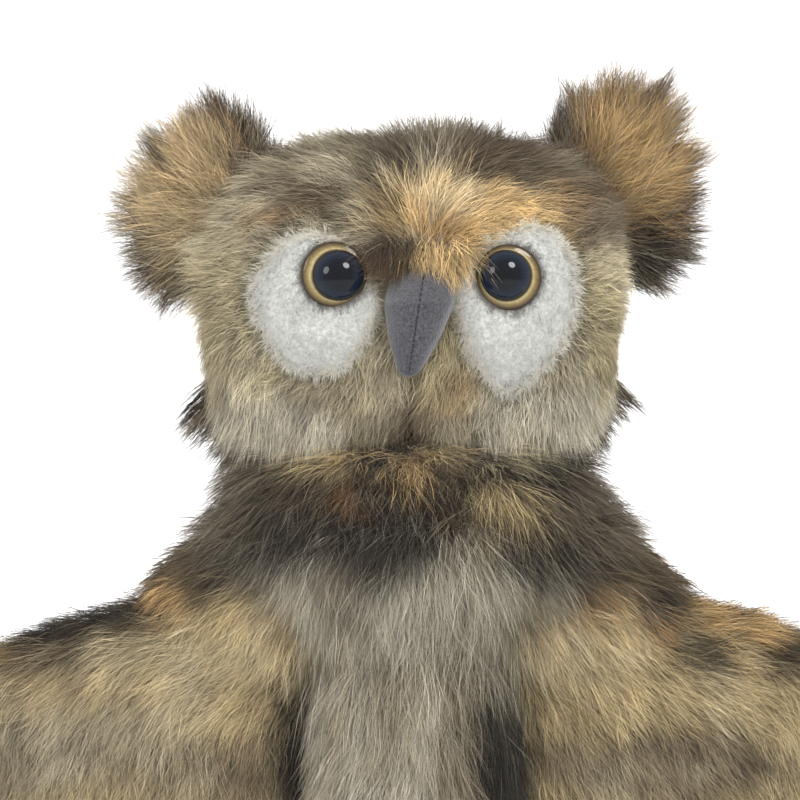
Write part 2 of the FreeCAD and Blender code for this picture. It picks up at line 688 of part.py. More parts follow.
def make_beak():
    """The felt beak: oval sections that swell forwards and close towards a blunt point."""
    body = new_body("beak")
    sections = ((342, -53, 5, 4), (336, -57, 10, 7.5), (324, -63, 13.4, 12), (312, -68.5, 9.5, 10),
                (303, -72.5, 5, 6.5), (297, -75, 1.6, 2.5))
    sketches = []
    for height, middle, half_width, half_depth in sections:
        sketch = sketch_on(body, "XY_Plane", "beak_level", height)
        centre = FreeCAD.Vector(0, middle, 0)
        across, along = FreeCAD.Vector(half_width, 0, 0), FreeCAD.Vector(0, half_depth, 0)
        if half_width >= half_depth:
            oval = Part.Ellipse(centre + across, centre + along, centre)
        else:
            oval = Part.Ellipse(centre + along, centre - across, centre)
        sketch.addGeometry(oval, False)
        sketches.append(sketch)
    loft = body.newObject("PartDesign::AdditiveLoft", "beak_loft")
    loft.Profile = sketches[0]
    loft.Sections = sketches[1:]
    loft.Ruled = True
    return body


def rounded_box(name, low, high, radius):
    """A PartDesign box between two corners with all its edges rounded."""
    body = new_body(name)
    sketch = sketch_on(body, "XY_Plane", f"{name}_outline", low[2])
    draw_polygon(sketch, [(low[0], low[1]), (high[0], low[1]), (high[0], high[1]), (low[0], high[1])])
    pad = body.newObject("PartDesign::Pad", f"{name}_pad")
    pad.Profile = sketch
    bind(pad, "Length", high[2] - low[2])
    doc.recompute()
    fillet = body.newObject("PartDesign::Fillet", f"{name}_rounding")
    fillet.Base = (pad, [f"Edge{number}" for number in range(1, len(pad.Shape.Edges) + 1)])
    bind(fillet, "Radius", radius)
    return body


def make_head():
    skin = dim("head_skin")
    low = (-dim("head_half_width"), -dim("head_front"), dim("head_bottom"))
    high = (dim("head_half_width"), dim("head_back"), dim("head_top"))
    outside = rounded_box("head_outside", low, high, dim("head_rounding"))
    inside = rounded_box("head_inside", tuple(edge + skin for edge in low),
                         tuple(edge - skin for edge in high), dim("head_rounding") - skin)
    neck = rod("neck_passage", dim("flange_radius") + 2, dim("skull_bottom") - dim("head_bottom"),
               (0, 0, dim("head_bottom")))
    discs = {}
    recesses = []
    depth = dim("eye_face") - dim("eye_plate") - dim("disc_back")
    for side, outline in SIDES.items():
        pad = cushion(f"disc_pad_{side}", "XZ_Plane", outline, dim("disc_back"), depth, 3)
        discs[side] = cut(f"eye_disc_{side}", pad, shank_hole(side, f"disc_hole_{side}", 0))
        recess_body = new_body(f"disc_recess_{side}")
        sketch = sketch_on(recess_body, "XZ_Plane", f"recess_outline_{side}", dim("disc_back"))
        draw_curve(sketch, outline)
        reach = recess_body.newObject("PartDesign::Pad", f"recess_pad_{side}")
        reach.Profile = sketch
        bind(reach, "Length", dim("head_front") - dim("disc_back") + 1)
        recesses.append(recess_body)
    beak = make_beak()
    holes = [shank_hole(side, f"skin_hole_{side}", 0) for side in SIDES]
    fur = cut("head_fur", outside, inside, neck, beak, *recesses, *holes)
    pockets = [shank_hole(side, f"stuffing_hole_{side}", dim("washer_radius") - dim("eye_shank_radius") + 0.3)
               for side in SIDES]
    solid_skull = skull_solid("skull_pocket", 0)
    stuffing = cut("head_stuffing", inside, solid_skull, neck, beak, *pockets)
    washers = group("eye_washers", *[washer(side) for side in SIDES])
    ears = make_ears(outside)
    eyes = [piece for side in SIDES for piece in make_eye(side)]
    return [fur, stuffing, beak, washers, *discs.values(), *eyes, *ears]


LEFT_EAR = [(-50, 386), (-62, 402), (-80, 414), (-99, 405), (-117, 390), (-125, 370), (-116, 346),
            (-100, 329), (-82, 328), (-70, 350)]
RIGHT_EAR = [(52, 388), (72, 404), (96, 419), (113, 422), (121, 402), (123, 376), (120, 350),
             (108, 330), (84, 330), (70, 352)]


def make_ears(head_outside):
    ears = []
    for side, outline in (("left", LEFT_EAR), ("right", RIGHT_EAR)):
        half = dim("ear_half_thickness")
        pad = cushion(f"ear_pad_{side}", "XZ_Plane", outline, -dim("ear_y") - half, half * 2, 7)
        ears.append(cut(f"ear_{side}", pad, head_outside))
    return ears


# Torso, ruff, tail, feet and wings ----------------------------------------------------------------

FOOT_OUTLINE = [(10, -62), (14, -82), (27, -88), (40, -80), (43, -60), (36, -46), (16, -46)]


def make_torso():
    base = dim("base_radius")
    chassis, top = dim("chassis_radius"), dim("chassis_top")
    outer = [(0, 0), (55, 0), (59, 25), (58, 50), (54, 90), (48.5, 128), (43.5, 165), (40.5, 195),
             (38.5, 212), (36, 222), (34, top), (0, top)]
    floor = dim("base_thickness")
    inner = [(0, 0), (base, 0), (base, floor), (50, 20), (49, 50), (45, 90), (40, 128), (36.5, 165),
             (35, 205), (chassis, 222), (chassis, top), (0, top)]
    core = [(0, 0), (base, 0), (base, floor), (chassis, floor), (chassis, top), (0, top)]
    outside, inside, middle = (turned(name, corners) for name, corners in
                               (("torso_outside", outer), ("torso_inside", inner), ("torso_core", core)))
    windows = block("torso_windows", (-70, -dim("window_half_width"), dim("window_bottom")),
                    (70, dim("window_half_width"), dim("window_top")))
    button = rod("button_pocket", dim("button_radius") + 1, 10, (0, -37.5, dim("button_height")), "+Y")
    fur = cut("torso_fur", outside, inside, windows, button)
    stuffing = cut("torso_stuffing", inside, middle, windows, button)
    ruff_inner, ruff_outer, ruff_top = dim("ruff_inner"), dim("ruff_outer"), dim("ruff_top")
    ruff = turned("neck_ruff", [(ruff_inner, top + 0.5), (31, top + 0.5), (ruff_outer, top + 7),
                                (ruff_outer, top + 16), (46, ruff_top), (ruff_inner, ruff_top)])
    tail_outline = [(-24, 50), (-38, 80), (-34, 102), (-12, 108), (12, 108), (34, 102), (38, 80), (24, 50),
                    (0, 44)]
    tail = cut("tail_fur", cushion("tail_pad", "XY_Plane", tail_outline, 0, dim("tail_height"), 5), outside)
    feet = []
    for side, name in ((-1, "left"), (1, "right")):
        outline = [(side * x, y) for x, y in FOOT_OUTLINE]
        pad = cushion(f"foot_pad_{name}", "XY_Plane", outline, 0, dim("foot_height"), 4)
        feet.append(cut(f"foot_{name}", pad, outside))
    return [fur, stuffing, ruff, tail, *feet]


WING_OUTLINE = [(48, 206), (72, 214), (104, 214), (134, 205), (168, 193), (205, 183), (246, 169), (278, 146),
                (281, 118), (262, 92), (222, 68), (170, 56), (120, 52), (84, 54), (66, 72), (63, 104),
                (52, 140), (46, 172)]


def make_wing(side, name, arm):
    outline = [(side * x, z) for x, z in WING_OUTLINE]
    half, skin = dim("wing_half_thickness"), dim("wing_skin")
    outside = cushion(f"wing_outside_{name}", "XZ_Plane", outline, -half, half * 2, 12)
    inside = cushion(f"wing_inside_{name}", "XZ_Plane", shrink(outline, skin.value), skin - half,
                     (half - skin) * 2, 4)
    return [cut(f"wing_fur_{name}", outside, inside, arm), cut(f"wing_stuffing_{name}", inside, arm)]


# The whole owl ------------------------------------------------------------------------------------

def build():
    wing_drive = make_wing_drive()
    arms = {"left": wing_drive[-2], "right": wing_drive[-1]}
    pieces = [make_base(), *make_door(), chassis_half("chassis_front", -1), chassis_half("chassis_back", 1),
              make_chassis_screws(), *make_power(), *make_speaker(), *make_board(), *make_button(),
              *wing_drive, *make_neck(), *make_skull(), *make_head(), *make_torso(),
              *make_wing(-1, "left", arms["left"]), *make_wing(1, "right", arms["right"])]
    doc.recompute()
    failed = [item.Name for item in doc.Objects if {"Invalid", "Error"} & set(item.State)]
    if failed:
        raise RuntimeError(f"these objects failed: {failed}")
    for piece in pieces:
        if piece.Shape.isNull() or not piece.Shape.isValid():
            raise RuntimeError(f"{piece.Label} has no valid shape")
    os.makedirs("parts", exist_ok=True)
    for piece in pieces:
        piece.Shape.exportStep(f"parts/{piece.Label}.step")
        print(f"{piece.Label}: {len(piece.Shape.Solids)} solid(s), {piece.Shape.Volume / 1000:.2f} cm3")


build()
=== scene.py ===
import json
import math

import bpy
import numpy as np
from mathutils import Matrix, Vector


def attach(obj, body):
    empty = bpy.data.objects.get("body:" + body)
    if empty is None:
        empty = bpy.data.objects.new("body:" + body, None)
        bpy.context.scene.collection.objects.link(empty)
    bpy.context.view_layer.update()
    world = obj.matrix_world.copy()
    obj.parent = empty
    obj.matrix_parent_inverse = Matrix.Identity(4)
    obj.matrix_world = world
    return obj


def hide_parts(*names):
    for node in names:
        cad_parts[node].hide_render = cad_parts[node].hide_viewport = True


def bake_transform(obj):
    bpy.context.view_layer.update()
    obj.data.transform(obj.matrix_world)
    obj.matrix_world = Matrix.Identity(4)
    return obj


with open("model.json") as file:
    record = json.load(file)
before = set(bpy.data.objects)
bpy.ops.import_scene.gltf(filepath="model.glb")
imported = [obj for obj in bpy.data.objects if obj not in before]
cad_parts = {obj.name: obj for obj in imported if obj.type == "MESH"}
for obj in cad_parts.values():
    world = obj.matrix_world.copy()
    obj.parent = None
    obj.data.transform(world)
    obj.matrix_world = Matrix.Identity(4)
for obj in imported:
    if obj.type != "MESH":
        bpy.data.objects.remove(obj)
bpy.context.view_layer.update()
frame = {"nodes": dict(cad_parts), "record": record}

# A plush owl in long faux fur around its CAD frame. Lengths here are millimetres in that frame (+Z up, the
# owl faces -Y) and turn into metres where meshes, lights and the camera are made.

MM = 0.001


# Noise and vector helpers -------------------------------------------------------------------------

def lattice(cells, seed):
    """A repeatable random number between 0 and 1 for each whole-numbered cell."""
    mixed = cells.astype(np.int64) * np.array([73856093, 19349663, 83492791])
    value = (mixed[..., 0] ^ mixed[..., 1] ^ mixed[..., 2]) + seed * 2654435761
    value = (value ^ (value >> 13)) * 1274126177
    value = value ^ (value >> 16)
    return (value & 0xFFFFFF) / float(0xFFFFFF)


def noise(points, scale, seed=0):
    """Smooth noise from 0 to 1 with features of about the given size."""
    spots = points / scale
    cell = np.floor(spots)
    part = spots - cell
    part = part * part * (3 - 2 * part)
    total = np.zeros(len(points))
    for x in (0, 1):
        for y in (0, 1):
            for z in (0, 1):
                corner = np.array([x, y, z])
                weight = np.prod(np.where(corner, part, 1 - part), axis=1)
                total += weight * lattice(cell + corner, seed)
    return total


def rough_noise(points, scale, seed=0):
    """Three octaves of noise, from 0 to 1."""
    return (noise(points, scale, seed) * 4 + noise(points, scale / 2, seed + 1) * 2
            + noise(points, scale / 4, seed + 2)) / 7


def unit(vectors):
    return vectors / np.maximum(np.linalg.norm(vectors, axis=-1, keepdims=True), 1e-9)


def vectors(x, y, z):
    """One vector for each point. Each part is an array or a single number."""
    return np.stack(np.broadcast_arrays(x, y, z), axis=1)


def swirled(comb, swirl):
    """A comb turned in the front view by a different amount at each point."""
    return comb + vectors(swirl * comb[:, 2], 0, -swirl * comb[:, 0])


def smooth(value, start, end):
    share = np.clip((value - start) / (end - start), 0, 1)
    return share * share * (3 - 2 * share)


def colour(red, green, blue):
    """A display colour of 0 to 255 numbers as linear light."""
    value = np.array([red, green, blue]) / 255
    return np.where(value <= 0.04045, value / 12.92, ((value + 0.055) / 1.055) ** 2.4)


def blend(first, second, share):
    """Colours or combs between two others, which are arrays or single ones, by a share for each point."""
    return first + (second - first) * share[:, None]


# Surfaces -----------------------------------------------------------------------------------------

class Surface:
    """A closed triangle mesh with smooth normals: the cloth that the pile grows from."""

    def __init__(self, points, triangles):
        self.points = np.asarray(points, float)
        self.triangles = np.asarray(triangles, int)
        corners = self.points[self.triangles]
        facing = np.cross(corners[:, 1] - corners[:, 0], corners[:, 2] - corners[:, 0])
        self.areas = np.linalg.norm(facing, axis=1) / 2
        normals = np.zeros_like(self.points)
        for side in range(3):
            np.add.at(normals, self.triangles[:, side], facing)
        self.normals = unit(normals)

    def sample(self, count, seed, keep=None):
        """Random points spread evenly over the area, thinned by keep(points, normals) from 0 to 1."""
        rng = np.random.default_rng(seed)
        share = self.areas / self.areas.sum()
        chosen = rng.choice(len(share), count, p=share)
        first, second = rng.random(count), rng.random(count)
        folded = first + second > 1
        first[folded], second[folded] = 1 - first[folded], 1 - second[folded]
        weights = np.stack([1 - first - second, first, second], axis=1)[:, :, None]
        points = (self.points[self.triangles[chosen]] * weights).sum(1)
        normals = unit((self.normals[self.triangles[chosen]] * weights).sum(1))
        if keep is not None:
            kept = rng.random(count) < keep(points, normals)
            points, normals = points[kept], normals[kept]
        return points, normals


def ring_grid(rings, loop=False):
    """Joins closed rings of equal length into a tube of triangles. Fans close its two ends, or with loop its
    last ring joins its first, which leaves a way through the middle."""
    rings = np.asarray(rings, float)
    count, around = rings.shape[:2]
    points = rings.reshape(-1, 3)
    triangles = []
    for level in range(count if loop else count - 1):
        for step in range(around):
            here, right = level * around + step, level * around + (step + 1) % around
            above = (level + 1) % count * around - level * around
            triangles.append((here, right, right + above))
            triangles.append((here, right + above, here + above))
    if loop:
        return Surface(points, triangles)
    bottom, top = len(points), len(points) + 1
    points = np.vstack([points, rings[0].mean(0), rings[-1].mean(0)])
    last = (count - 1) * around
    for step in range(around):
        triangles.append((bottom, (step + 1) % around, step))
        triangles.append((top, last + step, last + (step + 1) % around))
    return Surface(points, triangles)


def boxy_ball(centre, half, power, rings=72, around=120):
    """A superellipsoid: a ball whose sides flatten as the power grows."""
    levels = []
    for height in np.linspace(-0.995, 0.995, rings):
        latitude = math.asin(height)
        turn = np.linspace(0, 2 * np.pi, around, endpoint=False)
        ray = vectors(np.cos(latitude) * np.cos(turn), np.cos(latitude) * np.sin(turn), math.sin(latitude))
        reach = (np.abs(ray) ** power).sum(1) ** (-1 / power)
        levels.append(ray * reach[:, None] * half + centre)
    return ring_grid(levels)


def between_corners(before, start, end, after, part):
    """A point on the Catmull-Rom curve from start to end."""
    return 0.5 * (2 * start + (end - before) * part
                  + (2 * before - 5 * start + 4 * end - after) * part ** 2
                  + (3 * start - before - 3 * end + after) * part ** 3)


def smooth_loop(corners, steps):
    """A closed Catmull-Rom curve through the corners."""
    corners = np.asarray(corners, float)
    count = len(corners)
    curve = []
    for index in range(count):
        before, start, end, after = (corners[(index + shift) % count] for shift in (-1, 0, 1, 2))
        for part in np.linspace(0, 1, steps, endpoint=False):
            curve.append(between_corners(before, start, end, after, part))
    return np.array(curve)


SMALLEST_RING = 0.02


def pad(outline, half_thickness, middle, across="XZ", steps=10, levels=14, centre=None):
    """A stuffed pad: its outline lies in one plane and both faces swell from the seam."""
    loop = smooth_loop(outline, steps)
    core = np.asarray(centre if centre is not None else loop.mean(0), float)
    shares = np.sin(np.linspace(0, np.pi / 2, levels))
    rings = []
    for side in (-1, 1):
        for share in shares if side < 0 else shares[::-1][1:]:
            flat = core + (loop - core) * max(share, SMALLEST_RING)
            height = middle + side * half_thickness * math.sqrt(max(0.0, 1 - share ** 3))
            rings.append(vectors(flat[:, 0], height, flat[:, 1]) if across == "XZ"
                         else vectors(flat[:, 0], flat[:, 1], height))
    surface = ring_grid(rings)
    volume = np.sum(np.cross(surface.points[surface.triangles[:, 0]], surface.points[surface.triangles[:, 1]])
                    * surface.points[surface.triangles[:, 2]])
    if volume < 0:
        surface = Surface(surface.points, surface.triangles[:, ::-1])
    return surface


def turned(profile, rings=90, around=96, squash=1.0, loop=False):
    """A surface of revolution about Z from (radius, height) corners, rounded between them.

    With loop the profile ends where it starts, and the surface is a thick-walled tube.
    """
    profile = np.asarray(profile, float)
    spots = np.linspace(0, len(profile) - 1, rings, endpoint=not loop)
    turn = np.linspace(0, 2 * np.pi, around, endpoint=False)
    levels = []
    for spot in spots:
        index = min(int(spot), len(profile) - 2)
        part = spot - index
        padded = np.vstack([profile[0] * 2 - profile[1], profile, profile[-1] * 2 - profile[-2]])
        radius, height = between_corners(*padded[index:index + 4], part)
        levels.append(vectors(radius * np.cos(turn), radius * squash * np.sin(turn), height))
    return ring_grid(levels, loop)


# Meshes -------------------------------------------------------------------------------------------

def add_object(name, data):
    made = bpy.data.objects.new(name, data)
    bpy.context.scene.collection.objects.link(made)
    return made


def make_mesh(name, points, faces):
    mesh = bpy.data.meshes.new(name)
    mesh.from_pydata([tuple(point * MM) for point in points], [], [tuple(map(int, face)) for face in faces])
    mesh.update()
    made = add_object(name, mesh)
    mesh.shade_smooth()
    return made


PIECE_STRANDS = 38000
FLOOR_GAP = 0.5
DETAIL = 1.0
STRAND_LEVELS = np.array([0.0, 0.3, 0.62, 1.0])
STRAND_WIDTHS = np.array([1.0, 0.92, 0.62])


def strand_mesh(name, paths, across, widths, tints):
    """One ribbon for each strand: pairs of points up its length and a single point at its tip."""
    count, levels = paths.shape[:2]
    pairs = levels - 1
    per_strand = pairs * 2 + 1
    half = (widths[:, None] * STRAND_WIDTHS[None, :] / 2)[:, :, None] * across[:, :pairs]
    points = np.empty((count, per_strand, 3))
    points[:, 0:pairs * 2:2] = paths[:, :pairs] - half
    points[:, 1:pairs * 2:2] = paths[:, :pairs] + half
    points[:, -1] = paths[:, -1]
    colours = np.ones((count, per_strand, 4), np.float32)
    colours[:, 0:pairs * 2:2, :3] = tints[:, :pairs]
    colours[:, 1:pairs * 2:2, :3] = tints[:, :pairs]
    colours[:, -1, :3] = tints[:, -1]

    pattern = []
    sizes = []
    for level in range(pairs - 1):
        low = level * 2
        pattern += [low, low + 1, low + 3, low + 2]
        sizes.append(4)
    pattern += [per_strand - 3, per_strand - 2, per_strand - 1]
    sizes.append(3)
    corners = (np.arange(count)[:, None] * per_strand + np.array(pattern)[None, :]).ravel()
    face_sizes = np.tile(np.array(sizes), count)
    starts = np.concatenate([[0], np.cumsum(face_sizes)[:-1]])

    mesh = bpy.data.meshes.new(name)
    mesh.vertices.add(count * per_strand)
    mesh.vertices.foreach_set("co", (points * MM).astype(np.float32).ravel())
    mesh.loops.add(len(corners))
    mesh.loops.foreach_set("vertex_index", corners.astype(np.int32))
    mesh.polygons.add(len(face_sizes))
    mesh.polygons.foreach_set("loop_start", starts.astype(np.int32))
    mesh.update(calc_edges=True)
    tint = mesh.attributes.new("tint", "FLOAT_COLOR", "POINT")
    tint.data.foreach_set("color", colours.ravel())
    add_strand_map(mesh, count, pairs, per_strand, corners)
    mesh.shade_smooth()
    return add_object(name, mesh)


def add_strand_map(mesh, count, pairs, per_strand, corners):
    """Gives each strand its own small cell in the texture map, root at the cell's foot, tip at its head."""
    side = math.ceil(math.sqrt(count))
    index = np.arange(count)
    cell = np.stack([index % side, index // side], axis=1)
    local = np.empty((per_strand, 2))
    for level in range(pairs):
        local[level * 2] = (0.02, STRAND_LEVELS[level])
        local[level * 2 + 1] = (0.98, STRAND_LEVELS[level])
    local[-1] = (0.5, 1.0)
    spots = (cell[:, None, :] + local[None, :, :]) / side
    layer = mesh.uv_layers.new(name="OFBake")
    layer.data.foreach_set("uv", spots.reshape(-1, 2)[corners].astype(np.float32).ravel())


# Fur ----------------------------------------------------------------------------------------------

ROOT_DEPTH = 0.6         # how far under the cloth a strand starts
LEAST_RISE, MOST_RISE = 0.05, 1.3
LEAST_BRIGHT, MOST_BRIGHT = 0.45, 1.75


def grow(name, body, material, points, normals, comb, length, tints, seed, lift=0.45, width=0.23,
         tuft=12, tuft_size=3.4, gather=0.7, droop=0.25, mess=0.25, vary=0.15, clump=0.30, wave=0.6,
         stray=0.08, guard=0.05, frost=0.04, even=0.0):
    """Grows tufts of strands at the points and makes them ride on a body.

    comb is each tuft's direction along the cloth, length its pile length, and tints its three colours from
    root to tip. lift is how far a strand stands off the cloth, gather how far a tuft's tips close up,
    guard the share of dark hairs, frost that of pale ones, and even how far strands shade like the cloth
    that they grow from.
    """
    rng = np.random.default_rng(seed)
    tufts = len(points)
    facing = (unit(comb) * normals).sum(1)
    hang = smooth(facing, 0.45, 0.95)
    lie = unit(unit(comb) - normals * (facing * (1 - hang))[:, None] + 1e-6)
    owner = np.repeat(np.arange(tufts), tuft)
    count = len(owner)
    normal, along = normals[owner], lie[owner]
    side = unit(np.cross(normal, along) + 1e-6)
    spread = rng.normal(size=(count, 2)) * tuft_size * 0.5
    offset = along * spread[:, :1] + side * spread[:, 1:]
    root = points[owner] + offset - normal * ROOT_DEPTH
    wild = (rng.random(tufts) < stray).astype(float)[owner]
    tuft_lift = lift[owner] + wild * 0.22
    rise = tuft_lift + rng.normal(size=tufts)[owner] * 0.10 + rng.normal(size=count) * 0.12
    rise = np.clip(rise, LEAST_RISE, MOST_RISE)
    swing = (rng.normal(size=tufts)[owner] * mess + rng.normal(size=count) * mess * 0.7) * (1 + wild)
    tuft_length = (length * rng.uniform(0.8, 1.12, tufts))[owner]
    size = tuft_length * rng.uniform(0.72, 1.08, count) * (1 + 0.3 * wild)
    start_way = unit(along * np.cos(rise)[:, None] + normal * np.sin(rise)[:, None] + side * swing[:, None])
    lower = rise * 0.35
    end_way = unit(along * np.cos(lower)[:, None] + normal * np.sin(lower)[:, None]
                   + side * (swing * 0.6 + rng.normal(size=tufts)[owner] * mess)[:, None]
                   + np.array([0, 0, -droop]))
    middle = root + start_way * (size * 0.5)[:, None]
    tip = middle + end_way * (size * 0.5)[:, None]
    tip = tip - offset * gather + rng.normal(size=(count, 3)) * 0.35
    share = STRAND_LEVELS[None, :, None]
    paths = (root[:, None] * (1 - share) ** 2 + middle[:, None] * 2 * share * (1 - share)
             + tip[:, None] * share ** 2)
    paths[:, 1:3] += rng.normal(size=(count, 2, 3)) * wave
    paths[..., 2] = np.maximum(paths[..., 2], FLOOR_GAP)
    forward = unit(np.gradient(paths, axis=1))
    flat = unit(np.cross(forward, np.repeat(normal[:, None], len(STRAND_LEVELS), 1)))
    lifted = np.cross(flat, forward)
    roll = rng.normal(size=count) * 0.75 * (1 - 0.7 * even)
    across = flat * np.cos(roll)[:, None, None] + lifted * np.sin(roll)[:, None, None]
    widths = width * rng.uniform(0.7, 1.25, count)
    kind = rng.random(count)
    dark, pale = kind < guard, kind > 1 - frost
    widths[dark | pale] *= 0.8
    shade = rng.normal(size=(count, 1)) * vary + rng.normal(size=(tufts, 1))[owner] * clump
    bright = np.clip(1 + shade, LEAST_BRIGHT, MOST_BRIGHT)
    root_tint, middle_tint, tip_tint = (tint[owner] * bright for tint in tints)
    levels = np.stack([root_tint, root_tint * 0.45 + middle_tint * 0.55, middle_tint, tip_tint], axis=1)
    levels[dark] = levels[dark] * 0.35 + DARK * 0.4
    levels[pale] = levels[pale] * 0.4 + GREY_BEIGE * 0.7
    made = strand_mesh(name, paths, across, widths, levels)
    if even:
        own = unit(np.cross(across, forward))
        shading = unit(own * (1 - even) + normal[:, None] * even)
        pairs = len(STRAND_LEVELS) - 1
        spread_out = np.concatenate([np.repeat(shading[:, :pairs], 2, axis=1), shading[:, -1:]], axis=1)
        made.data.normals_split_custom_set_from_vertices(spread_out.reshape(-1, 3))
    made.data.materials.append(material)
    if body:
        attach(made, body)
    return made


def coat(name, body, material, surface, density, seed, keep, style, tuft=12, **shape):
    """Grows a region of pile on a skin, in as many pieces as its strands need.

    density is strands per square millimetre. keep takes points and normals and gives the share of tufts
    that stay. style takes the same and gives the comb, the length, the three tints and the lift, where the
    length and the lift may be single numbers.
    """
    count = int(surface.areas.sum() * density * DETAIL / tuft)
    points, normals = surface.sample(count, seed, keep)
    order = np.argsort(points[:, 0])
    points, normals = points[order], normals[order]
    comb, length, tints, lift = style(points, normals)
    length, lift = (np.broadcast_to(value, len(points)) for value in (length, lift))
    pieces = math.ceil(len(points) * tuft / PIECE_STRANDS)
    made = []
    for number, pick in enumerate(np.array_split(np.arange(len(points)), pieces)):
        title = name if pieces == 1 else f"{name}_{number + 1}"
        made.append(grow(title, body, material, points[pick], normals[pick], comb[pick], length[pick],
                         [tint[pick] for tint in tints], seed * 31 + number, lift=lift[pick], tuft=tuft,
                         **shape))
    return made


def skin(name, body, surface, material, tint, shade=0.5):
    """The cloth under the pile, in the pile's own tint made darker by shade: the painted shade that lies
    under the pile.
    """
    made = make_mesh(name, surface.points, surface.triangles)
    colours = np.ones((len(surface.points), 4), np.float32)
    colours[:, :3] = tint(surface.points) * shade
    made.data.attributes.new("tint", "FLOAT_COLOR", "POINT").data.foreach_set("color", colours.ravel())
    made.data.materials.append(material)
    if body:
        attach(made, body)
    return made


# Materials ----------------------------------------------------------------------------------------

def new_material(name, **values):
    """A Principled material whose constant values sit on the shader's own sockets."""
    made = bpy.data.materials.new(name)
    made.use_nodes = True
    shader = made.node_tree.nodes["Principled BSDF"]
    for socket, value in values.items():
        shader.inputs[socket.replace("_", " ")].default_value = value
    return made, made.node_tree, shader


def node(tree, kind, **values):
    made = tree.nodes.new(kind)
    for name, value in values.items():
        if name in made.inputs:
            made.inputs[name].default_value = value
        else:
            setattr(made, name, value)
    return made


def grain(tree, size, low, high, detail=3.0):
    """Noise in object space with features of the given millimetre size, spread between two values."""
    place = node(tree, "ShaderNodeTexCoord")
    noisy = node(tree, "ShaderNodeTexNoise", Scale=1 / (size * MM), Detail=detail)
    tree.links.new(place.outputs["Object"], noisy.inputs["Vector"])
    spread = node(tree, "ShaderNodeMapRange")
    spread.inputs["From Min"].default_value = 0.3
    spread.inputs["From Max"].default_value = 0.7
    spread.inputs["To Min"].default_value = low
    spread.inputs["To Max"].default_value = high
    tree.links.new(noisy.outputs["Fac"], spread.inputs["Value"])
    return spread.outputs["Result"]


def bump(tree, shader, height, distance, strength=1.0):
    made = node(tree, "ShaderNodeBump", Strength=strength, Distance=distance * MM)
    tree.links.new(height, made.inputs["Height"])
    tree.links.new(made.outputs["Normal"], shader.inputs["Normal"])


def times(tree, base, factor):
    """A colour made lighter or darker by a factor."""
    mix = node(tree, "ShaderNodeVectorMath", operation="SCALE")
    if isinstance(base, bpy.types.NodeSocket):
        tree.links.new(base, mix.inputs[0])
    else:
        mix.inputs[0].default_value = base
    tree.links.new(factor, mix.inputs["Scale"])
    return mix.outputs["Vector"]


def pile_material(name, streak=2.5, low=0.86, high=1.12, roughness=0.72, sheen=0.25):
    """Faux fur: the strands' own tint with a fine streakiness on top."""
    made, tree, shader = new_material(name, Roughness=roughness, Sheen_Weight=sheen, Sheen_Roughness=0.45,
                                      Specular_IOR_Level=0.25)
    tint = node(tree, "ShaderNodeVertexColor", layer_name="tint")
    tree.links.new(times(tree, tint.outputs["Color"], grain(tree, streak, low, high)),
                   shader.inputs["Base Color"])
    return made


def cloth_material(name, tone, size=0.7, depth=0.25):
    """Woven or felted cloth with mottling and a fuzzy surface."""
    made, tree, shader = new_material(name, Roughness=0.92, Sheen_Weight=0.5, Sheen_Roughness=0.5,
                                      Specular_IOR_Level=0.15)
    tree.links.new(times(tree, tuple(tone), grain(tree, 3.0, 0.82, 1.15)), shader.inputs["Base Color"])
    bump(tree, shader, grain(tree, size, 0, 1, detail=6.0), depth)
    return made


def plastic_material(name, tone, roughness=0.45, size=0.5, depth=0.03):
    made, tree, shader = new_material(name, Specular_IOR_Level=0.5)
    tree.links.new(times(tree, tuple(tone), grain(tree, 6.0, 0.94, 1.05)), shader.inputs["Base Color"])
    tree.links.new(grain(tree, 4.0, roughness * 0.85, roughness * 1.15), shader.inputs["Roughness"])
    bump(tree, shader, grain(tree, size, 0, 1), depth)
    return made


def metal_material(name, tone, roughness=0.35):
    made, tree, shader = new_material(name, Metallic=1.0)
    tree.links.new(times(tree, tuple(tone), grain(tree, 3.0, 0.9, 1.05)), shader.inputs["Base Color"])
    tree.links.new(grain(tree, 1.2, roughness * 0.7, roughness * 1.3), shader.inputs["Roughness"])
    bump(tree, shader, grain(tree, 0.4, 0, 1), 0.01)
    return made


# Colours of the pile ------------------------------------------------------------------------------

CREAM = colour(234, 222, 190)
PALE = colour(208, 202, 184)
GOLD = colour(224, 188, 130)
HONEY = colour(246, 212, 152)
RUST = colour(160, 118, 72)
STRAW = colour(216, 202, 156)
BEIGE = colour(190, 178, 150)
GREY_BEIGE = colour(168, 158, 136)
TAUPE = colour(128, 114, 94)
BROWN = colour(92, 74, 54)
DARK = colour(56, 46, 38)
BLACK = colour(34, 29, 25)
PLUSH_WHITE = colour(206, 206, 201)


def patch(points, x, z, half_x, half_z, turn=0.0, seed=0, ragged=0.35, scale=9.0):
    """How much of a soft-edged, ragged oval covers each point, seen from the front, from 0 to 1."""
    angle = math.radians(turn)
    shift_x = (rough_noise(points, scale, seed) - 0.5) * 2 * ragged * half_x
    shift_z = (rough_noise(points, scale, seed + 50) - 0.5) * 2 * ragged * half_z
    across = points[:, 0] - x + shift_x
    up = points[:, 2] - z + shift_z
    along = (across * math.cos(angle) + up * math.sin(angle)) / half_x
    over = (-across * math.sin(angle) + up * math.cos(angle)) / half_z
    return 1 - smooth(np.hypot(along, over), 0.65, 1.2)


def paint(points, ground, patches):
    """Lays coloured patches over a ground colour, later ones on top."""
    tint = np.broadcast_to(ground, (len(points), 3)).copy()
    for index, (tone, strength, *place) in enumerate(patches):
        cover = patch(points, *place[:5], seed=index * 7 + 3) * strength
        tint = blend(tint, tone, cover)
    return tint


def shades(tint, root, middle, tip):
    """The three tints of a tuft, as shares of one. A root share below one paints the shade deep in the pile,
    and a tip share above one paints light on the pile's top.
    """
    return tint * root, tint * middle, tint * tip


